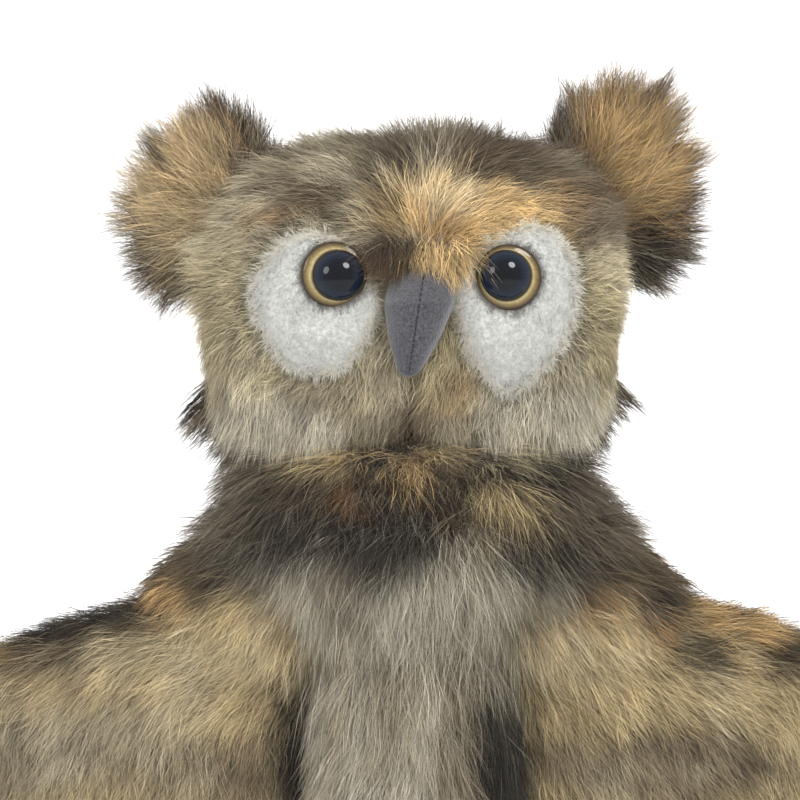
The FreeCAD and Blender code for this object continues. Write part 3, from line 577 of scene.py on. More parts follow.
def wispy_tint(points, seed):
    return blend(DARK, TAUPE, smooth(rough_noise(points, 9, seed), 0.45, 0.65))


def shown(points, comb, length):
    """Where the visible half of each tuft lies, for painting a pattern that its hair carries along."""
    return points + comb * (length * 0.5)[:, None]


# Head ---------------------------------------------------------------------------------------------

HEAD_CENTRE = np.array([0.0, 2.0, 329.0])
HEAD_HALF = np.array([78.0, 56.0, 57.0])
HEAD_POWER = 3.0
BROW = np.array([3.0, 0.0, 340.0])

LEFT_DISC = [(-63, 326), (-57, 342), (-44, 352), (-26, 349), (-15, 333), (-15, 317), (-28, 299), (-49, 301)]
RIGHT_DISC = [(15, 329), (22, 343), (42, 355), (56, 350), (63, 331), (56, 307), (36, 290), (21, 305)]
EYES = {"left": (-30.6, 335.6), "right": (35.6, 334.6)}
DISC_LOOPS = {"left": smooth_loop(LEFT_DISC, 10), "right": smooth_loop(RIGHT_DISC, 10)}


def face_depth(x, z):
    """Y of the head's front cloth at a place in the front view."""
    spread = np.abs((x - HEAD_CENTRE[0]) / HEAD_HALF[0]) ** HEAD_POWER
    rise = np.abs((z - HEAD_CENTRE[2]) / HEAD_HALF[2]) ** HEAD_POWER
    return HEAD_CENTRE[1] - HEAD_HALF[1] * np.maximum(1 - spread - rise, 0.0) ** (1 / HEAD_POWER)


def loop_distance(flat, loop):
    """Signed distance from points in the front view to a closed outline: negative inside."""
    start, end = loop, np.roll(loop, -1, axis=0)
    edge = end - start
    away = flat[:, None, :] - start[None]
    share = np.clip((away * edge).sum(2) / (edge ** 2).sum(1), 0, 1)
    gap = np.linalg.norm(away - share[..., None] * edge, axis=2).min(1)
    above = (start[None, :, 1] > flat[:, None, 1]) != (end[None, :, 1] > flat[:, None, 1])
    rise = np.where(np.abs(edge[:, 1]) < 1e-9, 1e-9, edge[:, 1])
    crossing = start[:, 0] + (flat[:, None, 1] - start[:, 1]) * edge[:, 0] / rise
    inside = (above & (flat[:, None, 0] < crossing)).sum(1) % 2 == 1
    return np.where(inside, -gap, gap)


def front_view(points):
    return points[:, [0, 2]]


def disc_gap(points):
    """Distance to the nearer eye disc in the front view, negative inside one."""
    return np.minimum(*(loop_distance(front_view(points), loop) for loop in DISC_LOOPS.values()))


def beak_cover(points):
    """1 where the beak hides the face, 0 elsewhere."""
    width = np.interp(points[:, 2], [297, 303, 312, 324, 334, 340], [1, 5, 9, 12, 9, 0])
    return (np.abs(points[:, 0]) < width) & (points[:, 1] < 0)


def head_kept(points, normals):
    blocked = (disc_gap(points) < 0.3) | beak_cover(points)
    return np.where((points[:, 1] < 4) & ~blocked, 1.0, 0.0)


def rear_kept(points, normals):
    return (points[:, 1] >= 4).astype(float)


def streaks(points, middle, seed, fine=60.0, long=0.22):
    """Noise drawn out along lines that run away from a middle point in the front view, from 0 to 1."""
    away = points - middle
    turn = np.arctan2(away[:, 2], away[:, 0])
    reach = np.hypot(away[:, 0], away[:, 2])
    drawn = vectors(np.cos(turn) * fine, np.sin(turn) * fine, reach * long + points[:, 1] * 0.15)
    return rough_noise(drawn, 11, seed)


def face_comb(points):
    """Hair runs out from the brow, sideways beside the discs and down below them."""
    away = points - BROW
    low = smooth(-away[:, 2], 2, 44)
    across = away[:, 0] / 60
    out = vectors(across * 1.7, 0, away[:, 2] / 80 + 0.12)
    down = vectors(across * 0.42, 0, -1.0)
    comb = blend(unit(out), unit(down), low)
    swirl = (rough_noise(points, 26, 201) - 0.5) * 1.2 + (rough_noise(points, 11, 202) - 0.5) * 1.0
    return swirled(comb, swirl)


def head_comb(points, normals):
    """The face's hair, then back over the crown and down the sides and the nape."""
    front = face_comb(points)
    out = np.sign(points[:, 0]) * smooth(np.abs(points[:, 0]), 20, 70)
    rear = vectors(out * 0.5, 0.35, -0.9)
    crown = vectors(out * 1.3, 0.75, 0.15)
    rear = blend(rear, crown, smooth(normals[:, 2], 0.35, 0.9))
    return unit(blend(rear, front, smooth(-normals[:, 1], 0.0, 0.5)))


FACE_PATCHES = [
    # tone, strength, x, z, half width, half height, turn
    (BEIGE * 0.75 + TAUPE * 0.25, 0.85, 0, 386, 90, 12, 0),
    (DARK, 0.45, 4, 389, 72, 6, -3),
    (BEIGE * 0.8 + TAUPE * 0.2, 0.75, -50, 366, 34, 14, 14),
    (TAUPE, 0.6, 52, 380, 34, 9, -8),
    (HONEY, 1.0, 20, 360, 40, 16, -4),
    (HONEY, 1.0, 50, 354, 17, 12, -30),
    (CREAM, 0.5, 14, 366, 16, 8, 0),
    (GOLD, 0.8, 12, 350, 22, 8, 0),
    (DARK, 0.8, -18, 377, 26, 3.5, 24),
    (DARK, 0.7, -46, 371, 18, 3, 8),
    (DARK, 0.6, 22, 379, 18, 2.5, -6),
    (BROWN, 0.75, -34, 366, 20, 5, 20),
    (DARK, 0.6, -12, 362, 8, 12, 35),
    (CREAM, 0.6, -42, 372, 18, 2.5, 18),
    (CREAM, 0.6, -30, 358, 14, 2.5, 26),
    (BROWN, 0.6, 38, 376, 22, 3, -14),
    (RUST, 0.55, -54, 361, 14, 3, 8),
    (RUST, 0.5, 8, 352, 12, 6, 20),
    (TAUPE, 0.6, 70, 362, 16, 18, 0),
    (RUST, 0.45, 60, 368, 12, 10, 0),
    (DARK, 0.6, 66, 374, 4, 12, -20),
    (BROWN, 0.6, -58, 372, 14, 4, 20),
    (BROWN, 0.5, 74, 360, 8, 16, 0),
    (BROWN, 0.85, -8, 346, 7, 8, 20),
    (BEIGE, 0.7, -72, 346, 14, 12, 0),
    (STRAW, 0.3, -70, 328, 13, 22, 0),
    (CREAM, 0.4, 76, 330, 10, 28, 0),
    (STRAW, 0.6, 70, 318, 7, 24, 10),
    (STRAW, 0.6, -42, 297, 24, 8, -6),
    (STRAW, 0.6, 8, 312, 8, 16, 0),
    (PALE, 0.85, -54, 280, 40, 19, -10),
    (PALE, 0.8, 54, 280, 38, 20, 10),
    (GREY_BEIGE, 0.7, 4, 276, 22, 20, 0),
    (BROWN, 0.6, 2, 284, 9, 20, 0),
    (BEIGE, 0.7, -30, 296, 18, 8, -10),
    (BROWN, 0.3, -38, 294, 12, 5, -14),
    (GOLD, 0.45, 16, 296, 9, 10, 0),
    (BROWN, 0.5, 0, 268, 70, 4, 0),
]


def face_tint(points):
    ground = paint(points, BEIGE, FACE_PATCHES)
    high = smooth(points[:, 2], 344, 364)
    drawn = streaks(points, BROW, 203)
    dark = smooth(drawn, 0.52, 0.68) * (0.25 + 0.55 * high)
    light = smooth(1 - drawn, 0.54, 0.7) * (0.35 + 0.3 * high)
    golden = patch(points, 22, 360, 42, 16) * 0.8
    return blend(blend(ground, BROWN, dark * (1 - golden)), CREAM, light)


def mottled_rear(points, seed):
    """Brown and dark mottling with a few gold patches, for everything that faces backwards."""
    ground = blend(TAUPE, DARK, smooth(rough_noise(points, 36, seed), 0.42, 0.58))
    return blend(ground, GOLD, smooth(rough_noise(points, 30, seed + 9), 0.62, 0.72) * 0.8)


def head_tint(points):
    return blend(mottled_rear(points, 11), face_tint(points), smooth(-points[:, 1], -14, 12))


def head_style(points, normals):
    front = points[:, 1] < 0
    near = np.where(front, 1 - smooth(disc_gap(points), 1, 13), 0)
    low = smooth(-points[:, 2], -305, -280)
    high = smooth(points[:, 2], 364, 382)
    side = smooth(np.abs(points[:, 0]), 64, 80)
    chin = np.exp(-(points[:, 0] / 50) ** 2) * front
    length = (17 + 9 * low * (1 - chin) - 7 * low * chin + 7 * high + 4 * side) * (1 - 0.42 * near)
    length *= 0.85 + 0.3 * noise(points, 11, 211)
    length *= 1 - 0.35 * smooth(points[:, 0], 58, 76) * smooth(-points[:, 2], -372, -350)
    comb = head_comb(points, normals)
    tint = head_tint(shown(points, comb, length * smooth(points[:, 2], 336, 350)))
    lift = 0.36 + 0.3 * high + 0.02 * low + 0.08 * side
    # Roots at 0.36 of the tint paint the shade deep in the pile; tips above the tint, most on the low cheeks,
    # paint light on its top.
    tips = blend(tint * (1.12 + 0.12 * low)[:, None], DARK, high * 0.6)
    edge = side * smooth(-points[:, 2], -345, -330) * (noise(points, 5, 207) > 0.55)
    tips = blend(tips, BROWN, edge * 0.8)
    return comb, length, (tint * 0.36, tint * 0.93, tips), lift


def brow_style(points, normals):
    """Long hair that falls from the brow over the top of the beak."""
    comb = vectors((points[:, 0] - 2) / 30, -0.5, -1.0)
    tint = blend(BROWN, HONEY, smooth(points[:, 0], -2, 6))
    tint = blend(tint, DARK, smooth(noise(points, 3, 209), 0.55, 0.75) * 0.6)
    return comb, 21.0, shades(tint, 0.5, 0.9, 1.1), 1.22


def brow_kept(points, normals):
    spot = np.hypot((points[:, 0] - 3) / 18, (points[:, 2] - 344) / 6)
    return ((spot < 1) & (points[:, 1] < 0)).astype(float)


def side_kept(points, normals):
    """The band behind the cheeks, where dark hair stands out past the face."""
    band = (points[:, 1] > -2) & (points[:, 1] < 30) & (points[:, 2] < 300) & (points[:, 2] > 272)
    return (band & (np.abs(points[:, 0]) > 50)).astype(float)


def side_style(points, normals):
    comb = vectors(np.sign(points[:, 0]), 0.1, -0.9)
    tint = wispy_tint(points, 213)
    length = 25 + 9 * (points[:, 0] < 0)
    return comb, length, shades(tint, 0.6, 1, 1.1), 0.45


def crown_kept(points, normals):
    return ((points[:, 2] > 380) & (points[:, 1] < 20)).astype(float)


def crown_style(points, normals):
    """Dark, wispy hair that lies sideways along the top of the head."""
    comb = unit(vectors(np.sign(points[:, 0]) + (noise(points, 20, 215) - 0.5) * 3, 0, 0.25))
    tint = wispy_tint(points, 217)
    return comb, 16 + 12 * noise(points, 9, 219), shades(tint, 0.6, 1, 1.1), 0.5


def head_surface():
    """A rounded box with fuller cheeks low down."""
    ball = boxy_ball(HEAD_CENTRE, HEAD_HALF, HEAD_POWER)
    points = ball.points.copy()
    low = smooth(-points[:, 2], -318, -284)
    points[:, 0] *= 1 + 0.045 * low
    return Surface(points, ball.triangles)


def make_head(pile, cloth):
    surface = head_surface()
    made = skin("head_skin", "head", surface, cloth, head_tint)
    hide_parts("head_fur")
    coat("face_pile", "head", pile, surface, density=3.8, seed=1, keep=head_kept, style=head_style)
    coat("nape_pile", "head", pile, surface, density=1.1, seed=2, keep=rear_kept, style=head_style,
         width=0.5)
    coat("brow_tuft", "head", pile, surface, density=5.0, seed=3, keep=brow_kept, style=brow_style, mess=0.3,
         droop=0.35)
    coat("cheek_tuft", "head", pile, surface, density=1.2, seed=4, keep=side_kept, style=side_style,
         width=0.36, mess=0.3)
    coat("crown_wisps", "head", pile, surface, density=0.5, seed=5, keep=crown_kept, style=crown_style,
         width=0.2, tuft=9, mess=0.35)


# Eye discs, eyes and beak -------------------------------------------------------------------------

def make_disc(side, plush, cloth):
    loop = DISC_LOOPS[side]
    core = loop.mean(0)
    rings = []
    for share in np.sin(np.linspace(0.02, np.pi / 2, 16)):
        flat = core + (loop - core) * share
        swell = 4.2 * math.sqrt(max(0.0, 1 - share ** 3))
        rings.append(vectors(flat[:, 0], face_depth(flat[:, 0], flat[:, 1]) - swell - 0.4, flat[:, 1]))
    for share in (0.96, 0.5, 0.05):
        flat = core + (loop - core) * share
        rings.append(vectors(flat[:, 0], face_depth(flat[:, 0], flat[:, 1]) + 1.5, flat[:, 1]))
    surface = ring_grid(rings)
    if surface.normals[0][1] > 0:
        surface = Surface(surface.points, surface.triangles[:, ::-1])
    eye = np.array(EYES[side])

    def tint(points):
        # Dark within a few millimetres of the eye: partly the dark fur at the socket's rim, partly painted
        # shade in the socket round the eye.
        near = 1 - smooth(np.linalg.norm(front_view(points) - eye, axis=1), 12.6, 15.0)
        edge = smooth(loop_distance(front_view(points), loop), -5, 0.5)
        base = PLUSH_WHITE * (0.92 + 0.12 * noise(points, 9, 5)[:, None])
        return blend(blend(base, DARK, near * 0.85), CREAM, edge * 0.45)

    made = skin(f"eye_patch_{side}", "head", surface, cloth, tint, shade=0.9)
    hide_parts(f"eye_disc_{side}")

    def kept(points, normals):
        clear = np.linalg.norm(front_view(points) - eye, axis=1) > 12.0
        return (clear & (normals[:, 1] < 0.1)).astype(float)

    def style(points, normals):
        tones = tint(points)
        away = vectors(points[:, 0] - eye[0], 0, points[:, 2] - eye[1]) / 26
        comb = unit(away + np.array([0, 0, -0.5])) + np.random.default_rng(9).normal(size=away.shape) * 0.5
        length = 3.2 + 2.8 * smooth(loop_distance(front_view(points), loop), -6, 0)
        return comb, length, shades(tones, 0.98, 1, 1.01), 0.4

    coat(f"eye_patch_pile_{side}", "head", plush, surface, density=5.5, seed=21 if side == "left" else 22,
         keep=kept, style=style, tuft=8, width=0.24, tuft_size=1.6, gather=0.1, droop=0.05, mess=0.6,
         vary=0.02, clump=0.02, wave=0.2, stray=0.02, guard=0.0, frost=0.0, even=0.85)


def eye_material():
    """A dark pupil inside a thin brown and gold ring, by each point's reach from the eye's middle."""
    made, tree, shader = new_material("eye_enamel", Roughness=0.05, Specular_IOR_Level=0.3)
    ramp = node(tree, "ShaderNodeValToRGB")
    reach = node(tree, "ShaderNodeAttribute")
    reach.attribute_name = "reach"
    tree.links.new(reach.outputs["Fac"], ramp.inputs["Fac"])
    # Up to 0.74 the pupil lightens from near-black in the middle to a blue-grey band by its edge: a painted
    # reflection of the bright studio at the dome's edge.
    stops = [(0.0, (6, 9, 15)), (0.40, (9, 14, 22)), (0.64, (26, 36, 52)), (0.74, (18, 25, 37)),
             (0.776, (12, 11, 11)), (0.792, (184, 166, 120)), (0.85, (136, 118, 80)), (0.92, (88, 73, 48)),
             (1.0, (36, 28, 20))]
    elements = ramp.color_ramp.elements
    for index, (place, tone) in enumerate(stops):
        stop = elements[index] if index < 2 else elements.new(place)
        stop.position = place
        stop.color = (*colour(*tone), 1)
    tree.links.new(times(tree, ramp.outputs["Color"], grain(tree, 0.9, 0.8, 1.15)),
                   shader.inputs["Base Color"])
    return made


EYE_SEAT_Y = -57.0
EYE_RADIUS = 12.5
DOME_RADIUS = 9.7
DOME_BASE = 1.15
DOME_BULGE = 6.6
DOME_SHIFTS = {"left": (1.9, -0.4), "right": (-1.2, 0.7)}


def make_eye(side, enamel):
    """A stem, a flat rim and a dome that sits a little off the rim's middle."""
    x, z = EYES[side]
    shift = DOME_SHIFTS[side]
    profile = [(0.02, -16), (3, -16), (3, -2.0), (12.0, -2.0), (EYE_RADIUS, -1.2), (EYE_RADIUS, -0.2),
               (12.2, 0.4), (11.4, 0.8), (10.2, 1.1), (9.9, DOME_BASE)]
    profile += [(DOME_RADIUS * math.cos(turn), DOME_BASE + DOME_BULGE * math.sin(turn))
                for turn in np.linspace(0.05, math.pi / 2 - 0.002, 22)]
    around = 96
    turn = np.linspace(0, 2 * np.pi, around, endpoint=False)
    rings = []
    for radius, front in profile:
        share = smooth(front, 0.8, 1.6) * smooth(radius, 0, 1)
        share = 1.0 if front > 1.6 else share
        rings.append(vectors(x + shift[0] * share + radius * np.cos(turn), EYE_SEAT_Y - front,
                             z + shift[1] * share + radius * np.sin(turn)))
    surface = ring_grid(rings)
    made = make_mesh(f"eye_{side}", surface.points, surface.triangles)
    reach = np.repeat([radius / EYE_RADIUS if front > -0.3 else 1.0 for radius, front in profile], around)
    reach = np.append(reach, [1.0, 0.0])
    store = made.data.attributes.new("reach", "FLOAT", "POINT")
    store.data.foreach_set("value", reach.astype(np.float32))
    made.data.materials.append(enamel)
    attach(made, "head")
    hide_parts(f"eye_lens_{side}", f"eye_iris_{side}")


def beak_material():
    made, tree, shader = new_material("beak_felt", Roughness=0.95, Sheen_Weight=0.6, Sheen_Roughness=0.4,
                                      Specular_IOR_Level=0.1)
    tree.links.new(times(tree, tuple(colour(80, 79, 84)), grain(tree, 0.9, 0.5, 1.5, detail=8.0)),
                   shader.inputs["Base Color"])
    bump(tree, shader, grain(tree, 0.45, 0, 1, detail=8.0), 0.22)
    return made


BEAK_LEAN = 0.15         # sideways millimetres for each one up
BEAK_UPRIGHT = 313       # the height at which the beak is in the middle
BEAK_BOTTOM, BEAK_TOP = 296.5, 342
SEAM_BOTTOM, SEAM_TOP = 299.5, 336
STITCH_SPACING = 2.15
SEAM_REACH = 1.065       # the seam's depth against the section's own
STITCH_ENDS = (-0.85, -0.55, 0.55, 0.85)
STITCH_SIDES = 8


def beak_section(height):
    """(middle y, half width, half depth) of the beak at a height."""
    levels = [BEAK_BOTTOM, 298, 303, 312, 324, 334, BEAK_TOP]
    middle = np.interp(height, levels, [-75.5, -74.8, -72.2, -68, -62, -56, -52])
    width = np.interp(height, levels, [0.6, 3.8, 6.3, 10.0, 13.2, 12.6, 8])
    depth = np.interp(height, levels, [0.5, 2.8, 6.4, 10, 11.8, 8.4, 3.5])
    return middle, width, depth


def stitch_row():
    """The points and faces of the short stitches that run up the front of the beak."""
    points, faces = [], []
    for height in np.arange(SEAM_BOTTOM, SEAM_TOP, STITCH_SPACING):
        middle, width, depth = beak_section(height)
        lean = (height - BEAK_UPRIGHT) * BEAK_LEAN
        front = middle - depth * SEAM_REACH
        start = len(points)
        above = beak_section(height + 1)
        slope = (above[0] - above[2] * SEAM_REACH) - front
        for end in STITCH_ENDS:
            size = 0.16 if abs(end) > 0.6 else 0.36
            for corner in range(STITCH_SIDES):
                angle = corner * math.pi / 4
                points.append(np.array([lean + size * math.cos(angle) + end * 0.12,
                                        front + slope * end - 0.02 + size * math.sin(angle) * 0.8,
                                        height + end]))
        for level in range(len(STITCH_ENDS) - 1):
            for corner in range(STITCH_SIDES):
                a = start + level * STITCH_SIDES + corner
                b = start + level * STITCH_SIDES + (corner + 1) % STITCH_SIDES
                faces.append((a, b, b + STITCH_SIDES, a + STITCH_SIDES))
        last = start + (len(STITCH_ENDS) - 1) * STITCH_SIDES
        faces.append(tuple(start + corner for corner in reversed(range(STITCH_SIDES))))
        faces.append(tuple(last + corner for corner in range(STITCH_SIDES)))
    return points, faces


def make_beak(felt, thread):
    around = 64
    turn = np.linspace(0, 2 * np.pi, around, endpoint=False)
    rings = []
    for height in np.linspace(BEAK_BOTTOM, BEAK_TOP, 44):
        middle, width, depth = beak_section(height)
        ridge = np.exp(-((turn - 1.5 * np.pi) / 0.5) ** 2)
        groove = np.exp(-((turn - 1.5 * np.pi) / 0.07) ** 2)
        reach = 1 + 0.10 * ridge - 0.035 * groove
        lean = (height - BEAK_UPRIGHT) * BEAK_LEAN
        rings.append(vectors(width * np.cos(turn) * (1 + 0.06 * ridge) + lean,
                             middle + depth * np.sin(turn) * reach, height))
    surface = ring_grid(rings)
    made = make_mesh("beak_felt", surface.points, surface.triangles)
    made.data.materials.append(felt)
    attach(made, "head")
    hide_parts("beak")
    seam = make_mesh("beak_stitches", *stitch_row())
    seam.data.materials.append(thread)
    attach(seam, "head")


# Ears ---------------------------------------------------------------------------------------------

EARS = {
    "left": {"outline": [(-57, 374), (-65, 390), (-77, 396), (-90, 388), (-102, 373), (-103, 352), (-91, 338),
                         (-70, 344)],
             "fan": (-66, 356), "gold": (-86, 370), "tone": HONEY * 0.6 + CREAM * 0.4, "reach": 31,
             "bias": (-0.2, 0.35),
             "spikes": [((-72, 388), (-82, 417)), ((-62, 384), (-63, 405)), ((-94, 380), (-112, 400)),
                        ((-100, 366), (-126, 372)), ((-99, 350), (-122, 344)), ((-90, 340), (-105, 317)),
                        ((-80, 390), (-93, 410))]},
    "right": {"outline": [(55, 384), (68, 399), (83, 403), (95, 394), (99, 375), (98, 354), (90, 341),
                          (72, 346)],
              "fan": (64, 356), "gold": (80, 382), "tone": GOLD * 0.9, "reach": 32, "bias": (0.1, 0.4),
              "spikes": [((88, 398), (111, 426)), ((94, 392), (115, 411)), ((78, 400), (86, 424)),
                         ((98, 378), (121, 388)), ((97, 352), (118, 344)), ((88, 342), (106, 327)),
                         ((66, 396), (70, 418))]},
}


def ear_tint(points, ear):
    """Gold in the middle of the ear, rusty by the head, dark towards its rim and its lower edge."""
    middle = np.array([ear["gold"][0], 0, ear["gold"][1]])
    away = points - middle
    reach = np.hypot(away[:, 0], away[:, 2] * 0.85) + (rough_noise(points, 12, 77) - 0.5) * 14
    inner = smooth(-np.abs(points[:, 0]), -74, -62)
    gold = blend(ear["tone"], RUST, inner * 0.8)
    rim = blend(gold, TAUPE, smooth(reach, 15, 22))
    rim = blend(rim, DARK, smooth(reach, 19, 26) * 0.85)
    rim = blend(rim, RUST, smooth(rough_noise(points, 12, 78), 0.58, 0.7) * 0.4)
    rear = blend(TAUPE, DARK, smooth(rough_noise(points, 20, 79), 0.4, 0.6))
    return blend(rear, rim, smooth(-points[:, 1], -2, 6))


def make_spikes(side, spikes, pile):
    """The longest pointed locks round an ear's rim."""
    rng = np.random.default_rng(87)
    starts, ends = (np.array([spike[end] for spike in spikes], float) for end in (0, 1))
    each = 5
    start, end = np.repeat(starts, each, 0), np.repeat(ends, each, 0)
    start = start + rng.normal(size=start.shape) * 2.2
    depth = rng.normal(size=len(start)) * 3 - 5
    points = vectors(start[:, 0], depth, start[:, 1])
    way = end - start
    comb = vectors(way[:, 0], rng.normal(size=len(way)) * 3, way[:, 1])
    normals = np.broadcast_to(np.array([0.0, -1.0, 0.0]), points.shape)
    tone = blend(BROWN, GREY_BEIGE, rng.random(len(points)))
    grow(f"ear_spikes_{side}", "head", pile, points, normals, comb, np.linalg.norm(way, axis=1),
         shades(tone, 1, 0.9, 0.7), seed=89, lift=np.full(len(points), 0.05), tuft=26, tuft_size=5.0,
         gather=0.92, droop=0.0, mess=0.12, wave=0.5, stray=0.0, guard=0.2)


def make_ear(side, pile, cloth):
    ear = EARS[side]
    surface = pad(ear["outline"], half_thickness=8.0, middle=-4)
    fan = ear["fan"]
    made = skin(f"ear_skin_{side}", "head", surface, cloth,
                lambda points: ear_tint(points, ear), shade=0.45)
    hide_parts(f"ear_{side}")

    def style(points, normals):
        away = points - np.array([fan[0], 0, fan[1]])
        reach = np.hypot(away[:, 0], away[:, 2])
        comb = unit(vectors(away[:, 0], 0, away[:, 2]))
        comb = comb + vectors(ear["bias"][0], 0, ear["bias"][1] * smooth(away[:, 2], -10, 15))
        swirl = (rough_noise(points, 12, 83) - 0.5) * 1.4
        comb = swirled(comb, swirl)
        length = ear["reach"] * (0.42 + 0.3 * smooth(reach, 8, 34)) * (0.35 + 1.1 * noise(points, 8, 81))
        tint = ear_tint(points, ear)
        # Roots at 0.4 of the tint paint the shade deep in the pile and tips at 1.15 paint light on its top;
        # the dark towards the rim is the fur's own.
        tip = blend(tint * 1.15, DARK, 0.05 + 0.6 * smooth(reach, 26, 44))
        return unit(comb), length, (tint * 0.4, tint * 0.97, tip), 0.34

    def wisp_style(points, normals):
        comb, length, tints, lift = style(points, normals)
        length = ear["reach"] * (0.78 + 0.5 * noise(points, 7, 85))
        return comb, length, [tint * 0.7 for tint in tints], lift

    seed = 41 if side == "left" else 42
    coat(f"ear_pile_{side}", "head", pile, surface, density=2.4, seed=seed, keep=None, style=style,
         gather=0.95, tuft=14, tuft_size=4.0, droop=0.04, mess=0.3, wave=0.9, guard=0.1)
    make_spikes(side, ear["spikes"], pile)
    coat(f"ear_wisps_{side}", "head", pile, surface, density=0.9, seed=seed + 4, keep=None, style=wisp_style,
         width=0.2, frost=0.25, tuft=9, gather=0.7, droop=0.02, mess=0.35, wave=1.4, stray=0.0)


# Ruff, torso, shoulders, tail and feet ------------------------------------------------------------

RUFF_PATCHES = [
    (TAUPE, 0.75, -78, 244, 22, 13, 35),
    (GREY_BEIGE, 0.4, -90, 232, 16, 10, 35),
    (TAUPE, 0.7, 76, 246, 18, 14, -35),
    (TAUPE, 0.5, 92, 230, 14, 10, -35),
    (BROWN, 0.7, -34, 250, 20, 8, 20),
    (BROWN, 0.7, 24, 238, 18, 6, -10),
    (HONEY * 0.5 + STRAW * 0.5, 1.0, -32, 256, 18, 6, 6),
    (HONEY * 0.5 + STRAW * 0.5, 1.0, 10, 258, 10, 6, 0),
    (GOLD, 0.9, -1, 251, 8, 4, 0),
    (STRAW, 0.9, 38, 253, 9, 4, -10),
    (GOLD * 0.5 + STRAW * 0.5, 0.95, 36, 243, 14, 4, -24),
    (RUST, 0.6, -26, 247, 8, 5, 0),
    (STRAW, 0.7, 24, 234, 8, 2.5, -10),
    (BLACK, 0.95, -8, 232, 20, 10, 0),
    (BLACK, 0.9, 58, 228, 14, 8, -20),
    (BLACK, 0.75, -48, 236, 24, 6, 30),
]


def chest_share(points):
    """1 below the ragged line where the dark collar ends, which dips in the middle and to the right."""
    x = points[:, 0]
    line = 228 - 10 * np.exp(-((x + 8) / 16) ** 2) - 7 * smooth(x, 20, 45)
    return smooth(line + (rough_noise(points, 14, 69) - 0.5) * 18 - points[:, 2], -3, 7)


def ruff_tint(points):
    front = paint(points, DARK * 0.8, RUFF_PATCHES)
    chest = chest_share(points) * (1 - smooth(np.abs(points[:, 0]), 50, 66))
    front = blend(front, (GREY_BEIGE + PALE) / 2, chest)
    return blend(mottled_rear(points, 91), front, smooth(-points[:, 1], -12, 10))


def cape_comb(points, out, down):
    """Hair that runs down and outwards like a cape."""
    comb = vectors(points[:, 0] / 60 * out, points[:, 1] / 60 * out * 0.6, -down)
    return unit(comb)


def ruff_style(points, normals):
    side = smooth(np.abs(points[:, 0]), 14, 60)
    comb = blend(cape_comb(points, 0.4, 1.0), cape_comb(points, 1.5, 0.75), side)
    swirl = (rough_noise(points, 14, 93) - 0.5) * 1.3
    comb = unit(comb + vectors(swirl, 0, 0))
    length = 19 + 8 * noise(points, 12, 95) + 15 * side
    tint = ruff_tint(shown(points, comb, length))
    # Tips at 1.1 of the tint paint light on the pile's top and roots at 0.45 the shade deep in it; the pale
    # tips are frosted hairs.
    tip = tint * 1.1
    pale = (np.random.default_rng(5).random(len(points)) < 0.06 + 0.24 * side) & (points[:, 1] < 20)
    tip[pale] = blend(tip[pale], GREY_BEIGE, np.full(pale.sum(), 0.8))
    return comb, length, (tint * 0.45, tint * 0.95, tip), 0.42 + 0.16 * side


def facing_front(points, normals):
    return (points[:, 1] < 0).astype(float)


def facing_back(points, normals):
    return (points[:, 1] >= 0).astype(float)


RUFF_PROFILE = [(40, 224), (60, 228), (66, 237), (65, 247), (60, 257), (50, 265), (28, 268)]


def make_ruff(pile, cloth):
    surface = turned(RUFF_PROFILE, squash=0.7)
    made = skin("ruff_skin", "torso", surface, cloth, ruff_tint)
    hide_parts("neck_ruff")
    coat("ruff_pile_front", "torso", pile, surface, density=3.0, seed=51, keep=facing_front,
         style=ruff_style, gather=0.8, tuft_size=3.8, droop=0.26, mess=0.46, frost=0.14, guard=0.15)
    coat("ruff_pile_back", "torso", pile, surface, density=1.0, seed=52, keep=facing_back, style=ruff_style,
         width=0.5, gather=0.65, tuft_size=3.4, droop=0.3)


def torso_tint(points):
    front = blend(GREY_BEIGE, BEIGE, rough_noise(points, 26, 61))
    drawn = rough_noise(points * np.array([1, 1, 0.2]), 7, 62)
    front = blend(front, PALE, smooth(drawn, 0.48, 0.60) * 0.85)
    front = blend(front, PALE, smooth(points[:, 2], 170, 200) * 0.5)
    front = blend(front, BROWN, smooth(1 - drawn, 0.52, 0.66) * 0.55)
    # Black on the torso's sides from about 90 to 188 mm up: painted shade in the crease under the wings.
    crease = smooth(np.abs(points[:, 0] + 11), 28, 35) * smooth(-points[:, 2], -188, -160)
    crease *= smooth(points[:, 2], 90, 120)
    front = blend(front, BLACK * 0.7, crease * 0.95)
    front = blend(front, DARK * 0.8, (1 - chest_share(points)) * 0.95)
    return blend(mottled_rear(points, 63), front, smooth(-points[:, 1], -10, 12))


def torso_style(points, normals):
    length = np.minimum(24 + 8 * smooth(points[:, 2], 120, 200), 8 + points[:, 2] * 0.7)
    comb = cape_comb(points, 0.3, 1.0)
    swirl = (rough_noise(points, 30, 64) - 0.5) * 0.7
    comb = unit(comb + vectors(swirl, 0, 0))
    tint = torso_tint(shown(points, comb, length))
    return comb, length, shades(tint, 0.38, 0.9, 1.16), 0.3


def outer_wall(points, normals):
    return (points[:, :2] * normals[:, :2]).sum(1) > 0


TORSO_PROFILE = [(35, 120), (35, 40), (35, 8), (36, 4), (47, 3.6), (51, 8), (53, 26), (52, 52), (46, 90),
                 (40, 128), (37.5, 165), (37.5, 195), (44, 214), (50, 226), (44, 238), (36, 238),
                 (35, 230), (35, 190), (35, 120)]


